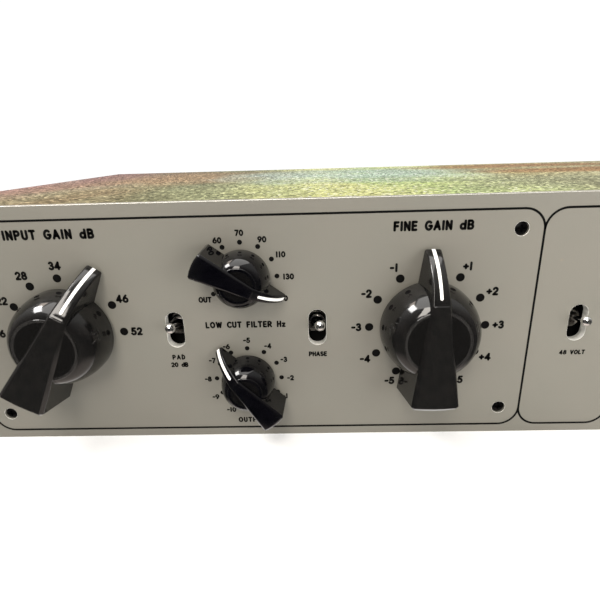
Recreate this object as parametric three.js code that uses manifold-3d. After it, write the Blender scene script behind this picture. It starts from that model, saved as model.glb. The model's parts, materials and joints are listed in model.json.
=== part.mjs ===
// A 19 inch, two-unit-high microphone preamplifier.
// Millimetres. +X to the right, +Y into the unit, +Z up. While it is drawn, the front panel's face
// is the plane y = 0 and its bottom edge is z = 0. The finished group is then moved along Y so that
// the origin is the centre of the bottom of the whole unit's box.

import * as THREE from 'three';
import { mergeVertices } from 'three/addons/utils/BufferGeometryUtils.js';
import Module from 'manifold-3d';

const wasm = await Module();
wasm.setup();

// ---------------------------------------------------------------- driving dimensions

const GAP = 0.3;                       // air between two pieces that touch
const TURN = Math.PI * 2;

const PANEL = { width: 482.6, height: 88.1, thickness: 3.2 };
const RACK_SLOT = { x: 232.55, fromCentre: 38.1, width: 10.3, height: 6.4 };
const PANEL_SCREW = { holeRadius: 2.6, holeDepth: 1.9, shankRadius: 1.25, headRadius: 2.25, headDepth: 1.3 };
const SCREW_PLACES = [
  [-180.5, 10.5], [-180.5, 76.8], [3.3, 10.5], [3.3, 76.8], [180.5, 10.5], [180.5, 76.8],
];

const CHASSIS = { width: 438, back: 222, top: 87.3, sheet: 1.5, flange: 12 };
const SUB_PANEL_FRONT = 8.3;
const SPACER_RADIUS = 3.5;

const ROW_HEIGHT = 43.5;               // height of the large dials and of the toggles
const SMALL_DIAL_RISE = 19.2;          // small dials sit this far above and below it
const DIAL_PITCH = 63.35;
const FIRST_DIAL = -151.8;

const SHAFT = { radius: 3.175, clearance: 0.35, back: 24 };
const BUSHING = { radius: 4.75, front: 4.2, panelHole: 5.6 };

// Pointer knobs, lengths measured from the shaft's axis and heights from the knob's underside.
// A bar lies across a domed skirt. Its top falls from the tail to a small step at the crease, and
// an arched nose runs down from there to the tip. Half width = root - taper * along - draft * height.
const KNOB_STAND_OFF = 0.8;            // air under the skirt
const KNOB_CROWN = 1.5;                // material over the shaft's bore
const LARGE_KNOB = {
  skirtRadius: 16.6, rim: 1.4, discRadius: 10.5, discHeight: 14.6,
  tail: 24.6, tailTop: 23.3, tailHeight: 16.4, crease: 12.8, creaseHeight: 15.2, tip: 27.5, lift: 0.25,
  step: 0.4, noseRadius: 26, bevel: 1, root: 6.5, taper: 0.139, draft: 0.117,
};
const SMALL_KNOB = {
  skirtRadius: 9.6, rim: 0.9, discRadius: 5.6, discHeight: 10.9,
  tail: 15.1, tailTop: 15, tailHeight: 12.2, crease: 5.2, creaseHeight: 11.9, tip: 15.85, lift: 0.2,
  step: 0.25, noseRadius: 20, bevel: 0.7, root: 3.55, taper: 0.124, draft: 0.083,
};

const LOWER_ROW = ROW_HEIGHT - SMALL_DIAL_RISE;
const UPPER_ROW = ROW_HEIGHT + SMALL_DIAL_RISE;
const CONTROLS = [
  { name: 'voltage_gain', column: 0, z: ROW_HEIGHT, knob: LARGE_KNOB, pointer: 59, radius: 15, length: 34 },
  { name: 'rumble_filter', column: 1, z: UPPER_ROW, knob: SMALL_KNOB, pointer: -29, radius: 13, length: 22 },
  { name: 'output', column: 1, z: LOWER_ROW, knob: SMALL_KNOB, pointer: 130, radius: 12, length: 13 },
  { name: 'fine_gain', column: 2, z: ROW_HEIGHT, knob: LARGE_KNOB, pointer: 90, radius: 15, length: 26 },
];
for (const control of CONTROLS) {
  control.x = FIRST_DIAL + DIAL_PITCH * control.column;
}

const TOGGLES = [
  { name: 'pad', x: -113.4 }, { name: 'pole', x: -63.2 }, { name: 'phantom', x: 26.5 },
  { name: 'mains', x: 165 },
];
const TOGGLE = {
  slotWidth: 6.3, slotHeight: 13.8, z: ROW_HEIGHT + 0.2, bushingRadius: 3.15, bushingFront: 4.3,
  pivot: 7, tilt: 14, reach: 13.5, neckRadius: 0.85, ballRadius: 1.5, throatRadius: 2.45,
  bodyWidth: 7, bodyHeight: 13, bodyDepth: 10, nutAcrossFlats: 8, nutThickness: 1.7,
};

const LAMP = { x: 165, z: 66, flange: 7, barrel: 5, lens: 4.2, proud: 3.5, back: 22 };

const REAR = CHASSIS.back;
const OUTSIDE = REAR + GAP;            // plane on which the rear flanges sit
const XLR = { width: 26, height: 31, plate: 2, collar: 1, bodyRadius: 11.6, depth: 22, z: 46, corner: 3 };
const XLR_MOUTH = OUTSIDE + XLR.plate + XLR.collar;
const CONTACT = { circle: 4.8, holeRadius: 1.4, holeDepth: 11, pinRadius: 1.2, pinSetBack: 3 };
const INPUT_X = -175;
const OUTPUT_X = -130;
const SOCKET_RING = { outer: 9.8, inner: 7.6, depth: 13 };
const PLUG_CUP = { radius: 9.5, depth: 16 };
const LATCH = { width: 7, height: 4, z: XLR.z + 12, depth: 2.4, proud: 0.4, travel: 1.2 };
const INLET = {
  x: 178, z: 46, width: 50, height: 22.5, corner: 6, plate: 2.5, bodyWidth: 28, bodyHeight: 20, depth: 21,
  wall: 1.8, cavityDepth: 15, cavityCorner: 3, bladeHalf: 1, bladeRise: 2, bladeSetBack: 2,
};
const INLET_BLADES = [[-7, -2], [7, -2], [0, 2]];
const FUSE = {
  x: 132, z: 46, ring: 8, ringDepth: 1.6, barrel: 6, bore: 4.3, depth: 30, floor: 3,
  capRadius: 6.2, capLength: 6, tubeRadius: 3.9, tubeBack: 12, slotHalf: 0.6, slotReach: 4.5, slotDepth: 1.2,
};

const MAINS_TRANSFORMER = { x: 150, y: 118, outer: 41, inner: 11, height: 36 };
const INPUT_TRANSFORMER = { x: -178, y: 150, radius: 17, height: 46 };
const OUTPUT_TRANSFORMER = { x: -178, y: 96, core: [38, 20, 32], coil: [24, 34, 22] };
const BOARD = { x: -60, y: 128, width: 150, depth: 96, z: 13, thickness: 1.6, inset: 5, holeRadius: 1.6 };
const BOARD_CANS = [
  { count: 5, firstX: -56, y: -26, pitch: 20, radius: 5, height: 16 },
  { count: 5, firstX: -50, y: 30, pitch: 20, radius: 4, height: 11 },
];
const BOARD_BLOCKS = [
  { x: -44, y: -6, width: 18, depth: 18, height: 14 },
  { x: -14, y: -6, width: 18, depth: 18, height: 14 },
  { x: 16, y: -6, width: 18, depth: 18, height: 14 },
  { x: 48, y: -20, width: 16, depth: 28, height: 12 },
];
const HEAT_SINK = { x: 84, y: 128, length: 90, height: 46, foot: 18, thickness: 3 };
const FIN = { count: 7, first: -36, pitch: 12, half: 0.8, reach: 12, low: 10 };
const POWER_BOARD = { thickness: 1.6, height: 40, length: 84, gap: 4, lift: 1 };
const REGULATOR = { places: [-30, 0, 30], half: 5, depth: 3.6, low: 18, high: 33 };
const CAPACITOR = { radius: 11, height: 40, x: 46, firstY: 105, pitch: 34, crimp: 2 };
const LEAD_RADIUS = 2;
const LEAD_GAP = 1.2;                  // the bare ends of the wires cross this to their tags

const FRONT_MOST = -(KNOB_STAND_OFF + LARGE_KNOB.tailHeight);
const REAR_MOST = OUTSIDE + FUSE.capLength + 2.2;
const MIDDLE_Y = (FRONT_MOST + REAR_MOST) / 2;

// ---------------------------------------------------------------- helpers

const FLOOR = CHASSIS.sheet + GAP;
const degrees = (angle) => angle * Math.PI / 180;

function solid(geometry) {
  const bare = geometry.index ? geometry.toNonIndexed() : geometry.clone();
  bare.deleteAttribute('normal');
  bare.deleteAttribute('uv');
  const merged = mergeVertices(bare, 1e-4);
  return new wasm.Manifold(new wasm.Mesh({
    numProp: 3,
    vertProperties: new Float32Array(merged.attributes.position.array),
    triVerts: new Uint32Array(merged.index.array),
  }));
}

function geometryOf(body) {
  const mesh = body.getMesh();
  const geometry = new THREE.BufferGeometry();
  geometry.setAttribute('position', new THREE.BufferAttribute(new Float32Array(mesh.vertProperties), 3));
  geometry.setIndex(new THREE.BufferAttribute(new Uint32Array(mesh.triVerts), 1));
  geometry.computeVertexNormals();
  return geometry;
}

function join(...parts) {
  return parts.reduce((whole, part) => whole.add(part));
}

function cut(body, ...tools) {
  return tools.reduce((whole, tool) => whole.subtract(tool), body);
}

// A box given by its lowest and highest corners.
function box([x0, y0, z0], [x1, y1, z1]) {
  const geometry = new THREE.BoxGeometry(x1 - x0, y1 - y0, z1 - z0);
  geometry.translate((x0 + x1) / 2, (y0 + y1) / 2, (z0 + z1) / 2);
  return solid(geometry);
}

// A box given by its centre and size.
function around(centre, size) {
  return box(centre.map((at, axis) => at - size[axis] / 2), centre.map((at, axis) => at + size[axis] / 2));
}

// A round bar along Y from y0 to y1.
function rodY(x, z, radius, y0, y1, sides = 24) {
  const geometry = new THREE.CylinderGeometry(radius, radius, y1 - y0, sides);
  geometry.translate(x, (y0 + y1) / 2, z);
  return solid(geometry);
}

// A round bar along Z from z0 to z1.
function rodZ(x, y, radius, z0, z1, sides = 24) {
  const geometry = new THREE.CylinderGeometry(radius, radius, z1 - z0, sides);
  geometry.rotateX(Math.PI / 2);
  geometry.translate(x, y, (z0 + z1) / 2);
  return solid(geometry);
}

// A turned piece: profile points are [radius, distance forward], forward being -Y.
function turned(profile, sides = 32) {
  const points = profile.map(([radius, forward]) => new THREE.Vector2(radius, forward));
  const geometry = new THREE.LatheGeometry(points, sides);
  geometry.rotateX(Math.PI);
  return solid(geometry);
}

// A flat outline in X and Z, from y0 back to y1.
function plate(shape, y0, y1, curveSegments = 8) {
  const geometry = new THREE.ExtrudeGeometry(shape, { depth: y1 - y0, bevelEnabled: false, curveSegments });
  geometry.rotateX(Math.PI / 2);
  geometry.translate(0, y1, 0);
  return solid(geometry);
}

// A rounded rectangle: its four corner arcs, with straight lines between them.
function roundedShape(x, z, width, height, radius) {
  const shape = new THREE.Shape();
  const left = x - width / 2;
  const right = x + width / 2;
  const low = z - height / 2;
  const high = z + height / 2;
  shape.absarc(right - radius, low + radius, radius, -Math.PI / 2, 0);
  shape.absarc(right - radius, high - radius, radius, 0, Math.PI / 2);
  shape.absarc(left + radius, high - radius, radius, Math.PI / 2, Math.PI);
  shape.absarc(left + radius, low + radius, radius, Math.PI, 1.5 * Math.PI);
  return shape;
}

// A slot whose short sides are full half circles.
function slotShape(x, z, width, height) {
  const shape = new THREE.Shape();
  const radius = Math.min(width, height) / 2;
  const reach = Math.abs(width - height) / 2;
  if (width > height) {
    shape.absarc(x + reach, z, radius, -Math.PI / 2, Math.PI / 2);
    shape.absarc(x - reach, z, radius, Math.PI / 2, 1.5 * Math.PI);
  } else {
    shape.absarc(x, z + reach, radius, 0, Math.PI);
    shape.absarc(x, z - reach, radius, Math.PI, TURN);
  }
  return shape;
}

function hexagon(x, z, acrossFlats) {
  const radius = acrossFlats / Math.sqrt(3);
  const shape = new THREE.Shape();
  for (let corner = 0; corner < 6; corner += 1) {
    const angle = TURN * corner / 6;
    const point = [x + radius * Math.cos(angle), z + radius * Math.sin(angle)];
    if (corner === 0) {
      shape.moveTo(...point);
    } else {
      shape.lineTo(...point);
    }
  }
  return shape;
}

const unit = new THREE.Group();
unit.position.y = -MIDDLE_Y;

const FINISHES = {
  panel_paint: { color: 0xa9a698, roughness: 0.45, metalness: 0 },
  passivated: { color: 0xb59a4a, roughness: 0.35, metalness: 0.8 },
  zinc: { color: 0xb8babb, roughness: 0.4, metalness: 0.8 },
  knob_black: { color: 0x0c0c0d, roughness: 0.15, metalness: 0 },
  chrome: { color: 0xd8dadc, roughness: 0.08, metalness: 1 },
  screw_black: { color: 0x151515, roughness: 0.4, metalness: 0.6 },
  steel: { color: 0x9c9ea0, roughness: 0.35, metalness: 0.9 },
  moulding: { color: 0x17181a, roughness: 0.5, metalness: 0 },
  lens_red: { color: 0x9a1510, roughness: 0.1, metalness: 0 },
  copper: { color: 0x9a5b2c, roughness: 0.4, metalness: 0.6 },
  board: { color: 0x1f5a36, roughness: 0.5, metalness: 0 },
  sleeve: { color: 0x20242c, roughness: 0.5, metalness: 0 },
  lead: { color: 0x33363b, roughness: 0.7, metalness: 0 },
};

function addPiece(name, body, finish, parent = unit) {
  const mesh = new THREE.Mesh(geometryOf(body), new THREE.MeshStandardMaterial(FINISHES[finish]));
  mesh.name = name;
  parent.add(mesh);
  return mesh;
}

// ---------------------------------------------------------------- front panel and its screws

function frontPanel() {
  const { width, height, thickness } = PANEL;
  const face = roundedShape(0, height / 2, width, height, 0.8);
  let body = plate(face, 0, thickness, 3);
  const through = (shape, segments) => plate(shape, -1, thickness + 1, segments);
  for (const side of [-1, 1]) {
    for (const rise of [-1, 1]) {
      const z = height / 2 + rise * RACK_SLOT.fromCentre;
      body = cut(body, through(slotShape(side * RACK_SLOT.x, z, RACK_SLOT.width, RACK_SLOT.height), 6));
    }
  }
  for (const toggle of TOGGLES) {
    body = cut(body, through(slotShape(toggle.x, TOGGLE.z, TOGGLE.slotWidth, TOGGLE.slotHeight), 8));
  }
  for (const control of CONTROLS) {
    body = cut(body, rodY(control.x, control.z, BUSHING.panelHole, -1, thickness + 1, 16));
  }
  body = cut(body, rodY(LAMP.x, LAMP.z, LAMP.barrel + GAP, -1, thickness + 1, 16));
  for (const [x, z] of SCREW_PLACES) {
    body = cut(
      body,
      rodY(x, z, PANEL_SCREW.holeRadius, -1, PANEL_SCREW.holeDepth, 14),
      rodY(x, z, PANEL_SCREW.shankRadius + GAP, -1, thickness + 1, 8),
    );
  }
  return body;
}

// A cheese-head screw: its head lies in the panel's counterbore and its shank runs into the spacer.
function panelScrew(x, z) {
  const head = PANEL_SCREW.holeDepth - GAP;
  const body = join(
    rodY(x, z, PANEL_SCREW.headRadius, head - PANEL_SCREW.headDepth, head, 14),
    rodY(x, z, PANEL_SCREW.shankRadius, head - 0.1, SUB_PANEL_FRONT + 1, 8),
  );
  const bar = 0.32;
  const reach = 1.4;
  const top = head - PANEL_SCREW.headDepth;
  return cut(
    body,
    box([x - bar, top - 1, z - reach], [x + bar, top + 0.7, z + reach]),
    box([x - reach, top - 1, z - bar], [x + reach, top + 0.7, z + bar]),
  );
}

addPiece('front_panel', frontPanel(), 'panel_paint');
SCREW_PLACES.forEach(([x, z], index) => {
  addPiece(`panel_screw_${index + 1}`, panelScrew(x, z), 'screw_black');
});

// ---------------------------------------------------------------- chassis

const INSIDE = CHASSIS.width / 2 - CHASSIS.sheet - GAP;
const UNDER_COVER = CHASSIS.top - CHASSIS.sheet - GAP;

// The sub-panel is folded back along its bottom and top, and carries pressed-in spacers.
function subPanel() {
  const { sheet, flange } = CHASSIS;
  const edge = INSIDE - CHASSIS.sheet - GAP;
  const back = SUB_PANEL_FRONT + sheet;
  let body = join(
    box([-edge, SUB_PANEL_FRONT, FLOOR], [edge, back, UNDER_COVER]),
    box([-edge, SUB_PANEL_FRONT, FLOOR], [edge, back + flange, FLOOR + sheet]),
    box([-edge, SUB_PANEL_FRONT, UNDER_COVER - sheet], [edge, back + flange, UNDER_COVER]),
  );
  for (const [x, z] of SCREW_PLACES) {
    body = join(body, rodY(x, z, SPACER_RADIUS, PANEL.thickness + GAP, SUB_PANEL_FRONT + 0.1, 12));
  }
  for (const [x, z] of SCREW_PLACES) {
    body = cut(body, rodY(x, z, PANEL_SCREW.shankRadius + GAP, PANEL.thickness, back + 1, 8));
  }
  for (const control of CONTROLS) {
    body = cut(body, rodY(control.x, control.z, BUSHING.radius + GAP, 0, back + 1, 16));
  }
  for (const toggle of TOGGLES) {
    body = cut(body, rodY(toggle.x, TOGGLE.z, TOGGLE.bushingRadius + GAP, 0, back + 1, 14));
  }
  return cut(body, rodY(LAMP.x, LAMP.z, LAMP.barrel + GAP, 0, back + 1, 14));
}

// The floor, folded up along both sides.
function basePlate() {
  const { sheet, flange } = CHASSIS;
  const parts = [box([-INSIDE, SUB_PANEL_FRONT, 0], [INSIDE, REAR, sheet])];
  for (const side of [-1, 1]) {
    const faces = [side * INSIDE, side * (INSIDE - sheet)].sort((a, b) => a - b);
    parts.push(box([faces[0], SUB_PANEL_FRONT, 0], [faces[1], REAR - sheet - GAP, flange]));
  }
  return join(...parts);
}

// The rear panel, folded forward along its bottom, with the cut-outs for its connectors.
function rearPanel() {
  const { sheet, flange } = CHASSIS;
  const edge = INSIDE - sheet - GAP;
  const body = join(
    box([-INSIDE, REAR - sheet, FLOOR], [INSIDE, REAR, UNDER_COVER]),
    box([-edge, REAR - sheet - flange, FLOOR], [edge, REAR, FLOOR + sheet]),
  );
  const front = REAR - sheet - 1;
  const halfWidth = INLET.bodyWidth / 2 + GAP;
  const halfHeight = INLET.bodyHeight / 2 + GAP;
  return cut(
    body,
    rodY(INPUT_X, XLR.z, XLR.bodyRadius + GAP, front, REAR + 1, 20),
    rodY(OUTPUT_X, XLR.z, XLR.bodyRadius + GAP, front, REAR + 1, 20),
    rodY(FUSE.x, FUSE.z, FUSE.barrel + GAP, front, REAR + 1, 20),
    box(
      [INLET.x - halfWidth, front, INLET.z - halfHeight],
      [INLET.x + halfWidth, REAR + 1, INLET.z + halfHeight],
    ),
  );
}

// The cover is one sheet folded down along both sides, with rounded bends.
function topCover() {
  const { width, sheet, top } = CHASSIS;
  const bend = 2;
  const front = PANEL.thickness + GAP;
  const outer = new THREE.Shape();
  const half = width / 2;
  outer.moveTo(-half, 0);
  outer.lineTo(-half + sheet, 0);
  outer.lineTo(-half + sheet, top - bend);
  outer.absarc(-half + bend, top - bend, bend - sheet, Math.PI, Math.PI / 2, true);
  outer.lineTo(half - bend, top - sheet);
  outer.absarc(half - bend, top - bend, bend - sheet, Math.PI / 2, 0, true);
  outer.lineTo(half - sheet, 0);
  outer.lineTo(half, 0);
  outer.lineTo(half, top - bend);
  outer.absarc(half - bend, top - bend, bend, 0, Math.PI / 2);
  outer.lineTo(-half + bend, top);
  outer.absarc(-half + bend, top - bend, bend, Math.PI / 2, Math.PI);
  return plate(outer, front, REAR, 4);
}

addPiece('sub_panel', subPanel(), 'zinc');
addPiece('base_plate', basePlate(), 'passivated');
addPiece('rear_panel', rearPanel(), 'passivated');
addPiece('top_cover', topCover(), 'passivated');

// ---------------------------------------------------------------- rotary controls

// Points on the circular arc of the given radius that bulges away from the origin, from one point to
// another. Both ends are included.
function bulge([x0, y0], [x1, y1], radius, steps) {
  const half = Math.hypot(x1 - x0, y1 - y0) / 2;
  const drop = Math.sqrt(radius * radius - half * half) / (2 * half);
  const centreX = (x0 + x1) / 2 + (y1 - y0) * drop;
  const centreY = (y0 + y1) / 2 - (x1 - x0) * drop;
  const first = Math.atan2(y0 - centreY, x0 - centreX);
  const last = Math.atan2(y1 - centreY, x1 - centreX);
  const points = [];
  for (let step = 0; step <= steps; step += 1) {
    const angle = first + (last - first) * step / steps;
    points.push([centreX + radius * Math.cos(angle), centreY + radius * Math.sin(angle)]);
  }
  return points;
}

// The knob's bar, seen from the side as distance along the pointer and height off the panel.
function knobBar(k) {
  const noseTop = [k.crease, k.creaseHeight - k.step];
  const outline = [
    [-k.tail, k.lift],
    [-k.tailTop, k.tailHeight - k.bevel],
    [-k.tailTop + k.bevel, k.tailHeight],
    [k.crease, k.creaseHeight],
    ...bulge(noseTop, [k.tip, k.lift + k.step], k.noseRadius, 7),
    [k.tip - k.step / 2, k.lift],
  ];
  const profile = new THREE.Shape(outline.reverse().map((point) => new THREE.Vector2(...point)));
  const geometry = new THREE.ExtrudeGeometry(profile, { depth: 2, bevelEnabled: false });
  geometry.translate(0, 0, -1);
  const place = geometry.attributes.position;
  for (let index = 0; index < place.count; index += 1) {
    const along = place.getX(index);
    const height = place.getY(index);
    const side = Math.sign(place.getZ(index));
    const halfWidth = k.root - k.taper * along - k.draft * height;
    place.setXYZ(index, along, -side * halfWidth, height);
  }
  return solid(geometry);
}

// The skirt: a rim, then a dome that ends in a flat disc.
function knobSkirt(k) {
  const points = [new THREE.Vector2(0, 0), new THREE.Vector2(k.skirtRadius, 0)];
  const steps = 5;
  const sides = 28;
  const lastAngle = degrees(78);
  const spread = (k.skirtRadius - k.discRadius) / (1 - Math.cos(lastAngle));
  const rise = (k.discHeight - k.rim) / Math.sin(lastAngle);
  for (let step = 0; step <= steps; step += 1) {
    const angle = lastAngle * step / steps;
    const radius = k.skirtRadius - spread * (1 - Math.cos(angle));
    points.push(new THREE.Vector2(radius, k.rim + rise * Math.sin(angle)));
  }
  points.push(new THREE.Vector2(0, k.discHeight));
  const geometry = new THREE.LatheGeometry(points, sides);
  geometry.rotateX(Math.PI / 2);
  geometry.rotateZ(TURN / sides / 3);
  return solid(geometry);
}

// A knob in its own frame: the pointer along +X, away from the panel along +Z.
function knob(k) {
  const bore = rodZ(0, 0, SHAFT.radius + GAP, -1, k.discHeight - KNOB_CROWN, 12);
  return cut(join(knobSkirt(k), knobBar(k)), bore);
}

// The switch or potentiometer behind the sub-panel, with its threaded bushing.
function controlBody({ x, z, radius, length }) {
  const back = SUB_PANEL_FRONT + CHASSIS.sheet + GAP;
  const can = rodY(x, z, radius, back, back + length, 20);
  const neck = rodY(x, z, BUSHING.radius, BUSHING.front, back + 0.1, 14);
  return cut(join(can, neck), rodY(x, z, SHAFT.radius + SHAFT.clearance, 0, boreEnd(length), 12));
}

// How far back a control's bore runs: to the usual depth, or to 2 mm short of a shorter body's end.
function boreEnd(length) {
  return Math.min(SHAFT.back, SUB_PANEL_FRONT + CHASSIS.sheet + GAP + length - 2);
}

function controlShaft({ x, z, knob: k, length }) {
  const front = KNOB_STAND_OFF + k.discHeight - KNOB_CROWN - GAP;
  return rodY(x, z, SHAFT.radius, -front, boreEnd(length) - GAP, 12);
}

for (const control of CONTROLS) {
  const kind = control.name === 'output' ? 'pot' : 'switch';
  addPiece(`${control.name}_${kind}`, controlBody(control), 'steel');
  addPiece(`${control.name}_shaft`, controlShaft(control), 'steel');
  const turner = new THREE.Group();
  turner.position.set(control.x, -KNOB_STAND_OFF, control.z);
  turner.rotation.set(Math.PI / 2, 0, 0);
  const pointer = new THREE.Group();
  pointer.rotation.z = degrees(control.pointer);
  turner.add(pointer);
  unit.add(turner);
  addPiece(`${control.name}_knob`, knob(control.knob), 'knob_black', pointer);
}

// ---------------------------------------------------------------- toggle switches

function toggleBody({ x }) {
  const t = TOGGLE;
  const back = SUB_PANEL_FRONT + CHASSIS.sheet + GAP;
  return cut(
    join(
      box([x - t.bodyWidth / 2, back, t.z - t.bodyHeight / 2],
        [x + t.bodyWidth / 2, back + t.bodyDepth, t.z + t.bodyHeight / 2]),
      rodY(x, t.z, t.bushingRadius, t.bushingFront, back + 0.1, 14),
    ),
    rodY(x, t.z, t.throatRadius, 0, t.pivot + 2.6, 12),
  );
}

function toggleNut({ x }) {
  const t = TOGGLE;
  const back = SUB_PANEL_FRONT - GAP;
  return cut(
    plate(hexagon(x, t.z, t.nutAcrossFlats), back - t.nutThickness, back),
    rodY(x, t.z, t.bushingRadius + GAP, 0, SUB_PANEL_FRONT, 14),
  );
}

// The lever: a ball in the bushing, a slender neck and a bat that swells to a round end.
function toggleLever() {
  const t = TOGGLE;
  const pivotBall = 1.7;
  const profile = [
    [0, -pivotBall], [pivotBall * 0.8, -pivotBall * 0.6], [pivotBall, 0],
    [t.neckRadius, pivotBall * 0.86], [t.neckRadius + 0.1, t.reach * 0.45],
  ];
  const ballCentre = t.reach - t.ballRadius;
  for (const angle of [-35, 0, 30, 60].map(degrees)) {
    profile.push([t.ballRadius * Math.cos(angle), ballCentre + t.ballRadius * Math.sin(angle)]);
  }
  profile.push([0, t.reach]);
  return turned(profile, 10);
}

for (const toggle of TOGGLES) {
  addPiece(`${toggle.name}_toggle_body`, toggleBody(toggle), 'moulding');
  addPiece(`${toggle.name}_toggle_nut`, toggleNut(toggle), 'chrome');
  const pivot = new THREE.Group();
  pivot.position.set(toggle.x, TOGGLE.pivot, TOGGLE.z);
  pivot.rotation.x = -degrees(TOGGLE.tilt);
  unit.add(pivot);
  addPiece(`${toggle.name}_toggle_lever`, toggleLever(), 'chrome', pivot);
}

// ---------------------------------------------------------------- pilot lamp

function lampBezel() {
  const { x, z, flange, barrel, lens, back } = LAMP;
  return cut(
    join(rodY(x, z, flange, -GAP - 1.5, -GAP, 20), rodY(x, z, barrel, -GAP - 0.1, back, 14)),
    rodY(x, z, lens, -3, 6, 14),
  );
}

function lampLens() {
  const radius = LAMP.lens - GAP;
  const profile = [[0, -5], [radius, -5], [radius, 1.4], [radius * 0.82, 2.8], [radius * 0.45, LAMP.proud],
    [0, LAMP.proud + 0.2]];
  const geometry = turned(profile, 14);
  return geometry.translate(LAMP.x, 0, LAMP.z);
}

addPiece('lamp_bezel', lampBezel(), 'chrome');
addPiece('lamp_lens', lampLens(), 'lens_red');

// ---------------------------------------------------------------- rear connectors

function xlrShell(x) {
  return join(
    plate(roundedShape(x, XLR.z, XLR.width, XLR.height, XLR.corner), OUTSIDE, OUTSIDE + XLR.plate, 4),
    rodY(x, XLR.z, XLR.bodyRadius, REAR - XLR.depth, OUTSIDE + 0.1, 20),
  );
}

// Round bars along Y at the connector's three contacts, given by their angles on the contact circle.
function contactRods(x, angles, radius, front, back) {
  return angles.map((angle) => rodY(
    x + CONTACT.circle * Math.cos(degrees(angle)),
    XLR.z - CONTACT.circle * Math.sin(degrees(angle)),
    radius,
    front,
    back,
    8,
  ));
}

// The input socket: a round insert with three contact holes inside a ring that takes the plug's shell.
function inputSocket() {
  const x = INPUT_X;
  const { outer, inner, depth } = SOCKET_RING;
  const ring = cut(
    rodY(x, XLR.z, outer, XLR_MOUTH - depth, XLR_MOUTH, 20),
    rodY(x, XLR.z, inner, 0, XLR_MOUTH + 1, 20),
  );
  const holes = contactRods(x, [-150, -30, 90], CONTACT.holeRadius, XLR_MOUTH - CONTACT.holeDepth, XLR_MOUTH);
  const half = LATCH.width / 2 + GAP;
  const low = LATCH.z - LATCH.height / 2 - GAP - LATCH.travel;
  const high = LATCH.z + LATCH.height / 2 + GAP;
  const pocket = box([x - half, XLR_MOUTH - LATCH.depth, low], [x + half, XLR_MOUTH, high]);
  return cut(xlrShell(x), ring, ...holes, pocket);
}

function inputLatch() {
  const half = LATCH.width / 2;
  const front = XLR_MOUTH - LATCH.depth + GAP;
  return box(
    [INPUT_X - half, front, LATCH.z - LATCH.height / 2],
    [INPUT_X + half, XLR_MOUTH + LATCH.proud, LATCH.z + LATCH.height / 2],
  );
}

// The output plug: a cup with three pins.
function outputPlug() {
  const floor = XLR_MOUTH - PLUG_CUP.depth;
  const cup = cut(xlrShell(OUTPUT_X), rodY(OUTPUT_X, XLR.z, PLUG_CUP.radius, floor, XLR_MOUTH, 20));
  const tip = XLR_MOUTH - CONTACT.pinSetBack;
  return join(cup, ...contactRods(OUTPUT_X, [150, 30, -90], CONTACT.pinRadius, floor - 0.5, tip));
}

function mainsInlet() {
  const { x, z, width, height, corner, bodyWidth, bodyHeight, depth, wall } = INLET;
  const face = OUTSIDE + INLET.plate;
  const floor = face - INLET.cavityDepth;
  const inner = roundedShape(x, z, bodyWidth - 2 * wall, bodyHeight - 2 * wall, INLET.cavityCorner);
  const flange = plate(roundedShape(x, z, width, height, corner), OUTSIDE, face, 4);
  const housing = box(
    [x - bodyWidth / 2, REAR - depth, z - bodyHeight / 2],
    [x + bodyWidth / 2, OUTSIDE + 0.1, z + bodyHeight / 2],
  );
  const blades = INLET_BLADES.map(([across, rise]) => box(
    [x + across - INLET.bladeHalf, floor - 0.5, z + rise - INLET.bladeRise],
    [x + across + INLET.bladeHalf, face - INLET.bladeSetBack, z + rise + INLET.bladeRise],
  ));
  return join(cut(join(flange, housing), plate(inner, floor, face + 1, 4)), ...blades);
}

function fuseHolder() {
  const { x, z, ring, ringDepth, barrel, depth, bore, floor } = FUSE;
  return cut(
    join(
      rodY(x, z, ring, OUTSIDE, OUTSIDE + ringDepth, 20),
      rodY(x, z, barrel, REAR - depth, OUTSIDE + 0.1, 16),
    ),
    rodY(x, z, bore, REAR - depth + floor, OUTSIDE + 2 * ringDepth, 14),
  );
}

function fuseCap() {
  const { x, z, capRadius, slotHalf, slotReach, slotDepth } = FUSE;
  const face = OUTSIDE + FUSE.ringDepth + GAP;
  const cap = rodY(x, z, capRadius, face, REAR_MOST, 18);
  const tube = rodY(x, z, FUSE.tubeRadius, REAR - FUSE.tubeBack, face + 0.1, 14);
  const slot = box(
    [x - slotReach, REAR_MOST - slotDepth, z - slotHalf],
    [x + slotReach, REAR_MOST + 1, z + slotHalf],
  );
  return cut(join(cap, tube), slot);
}

addPiece('input_socket', inputSocket(), 'zinc');
addPiece('input_latch', inputLatch(), 'zinc');
addPiece('output_plug', outputPlug(), 'zinc');
addPiece('mains_inlet', mainsInlet(), 'moulding');
addPiece('fuse_holder', fuseHolder(), 'moulding');
addPiece('fuse_cap', fuseCap(), 'moulding');

// ---------------------------------------------------------------- inside

function mainsTransformer() {
  const { x, y, outer, inner, height } = MAINS_TRANSFORMER;
  const low = FLOOR;
  const high = FLOOR + height;
  const round = 6;
  const points = [
    [inner, low + 2], [inner + 2, low], [outer - round, low], [outer - 1.5, low + 2.5], [outer, low + round],
    [outer, high - round], [outer - 1.5, high - 2.5], [outer - round, high], [inner + 2, high],
    [inner, high - 2], [inner, low + 2],
  ];
  const geometry = new THREE.LatheGeometry(points.map(([r, z]) => new THREE.Vector2(r, z)), 24);
  geometry.rotateX(Math.PI / 2);
  geometry.translate(x, y, 0);
  return solid(geometry);
}

function transformerClamp() {
  const { x, y, height } = MAINS_TRANSFORMER;
  const low = FLOOR + height + GAP;
  return cut(rodZ(x, y, 24, low, low + 2, 20), rodZ(x, y, 2 + GAP, 0, low + 5, 8));
}

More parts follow.
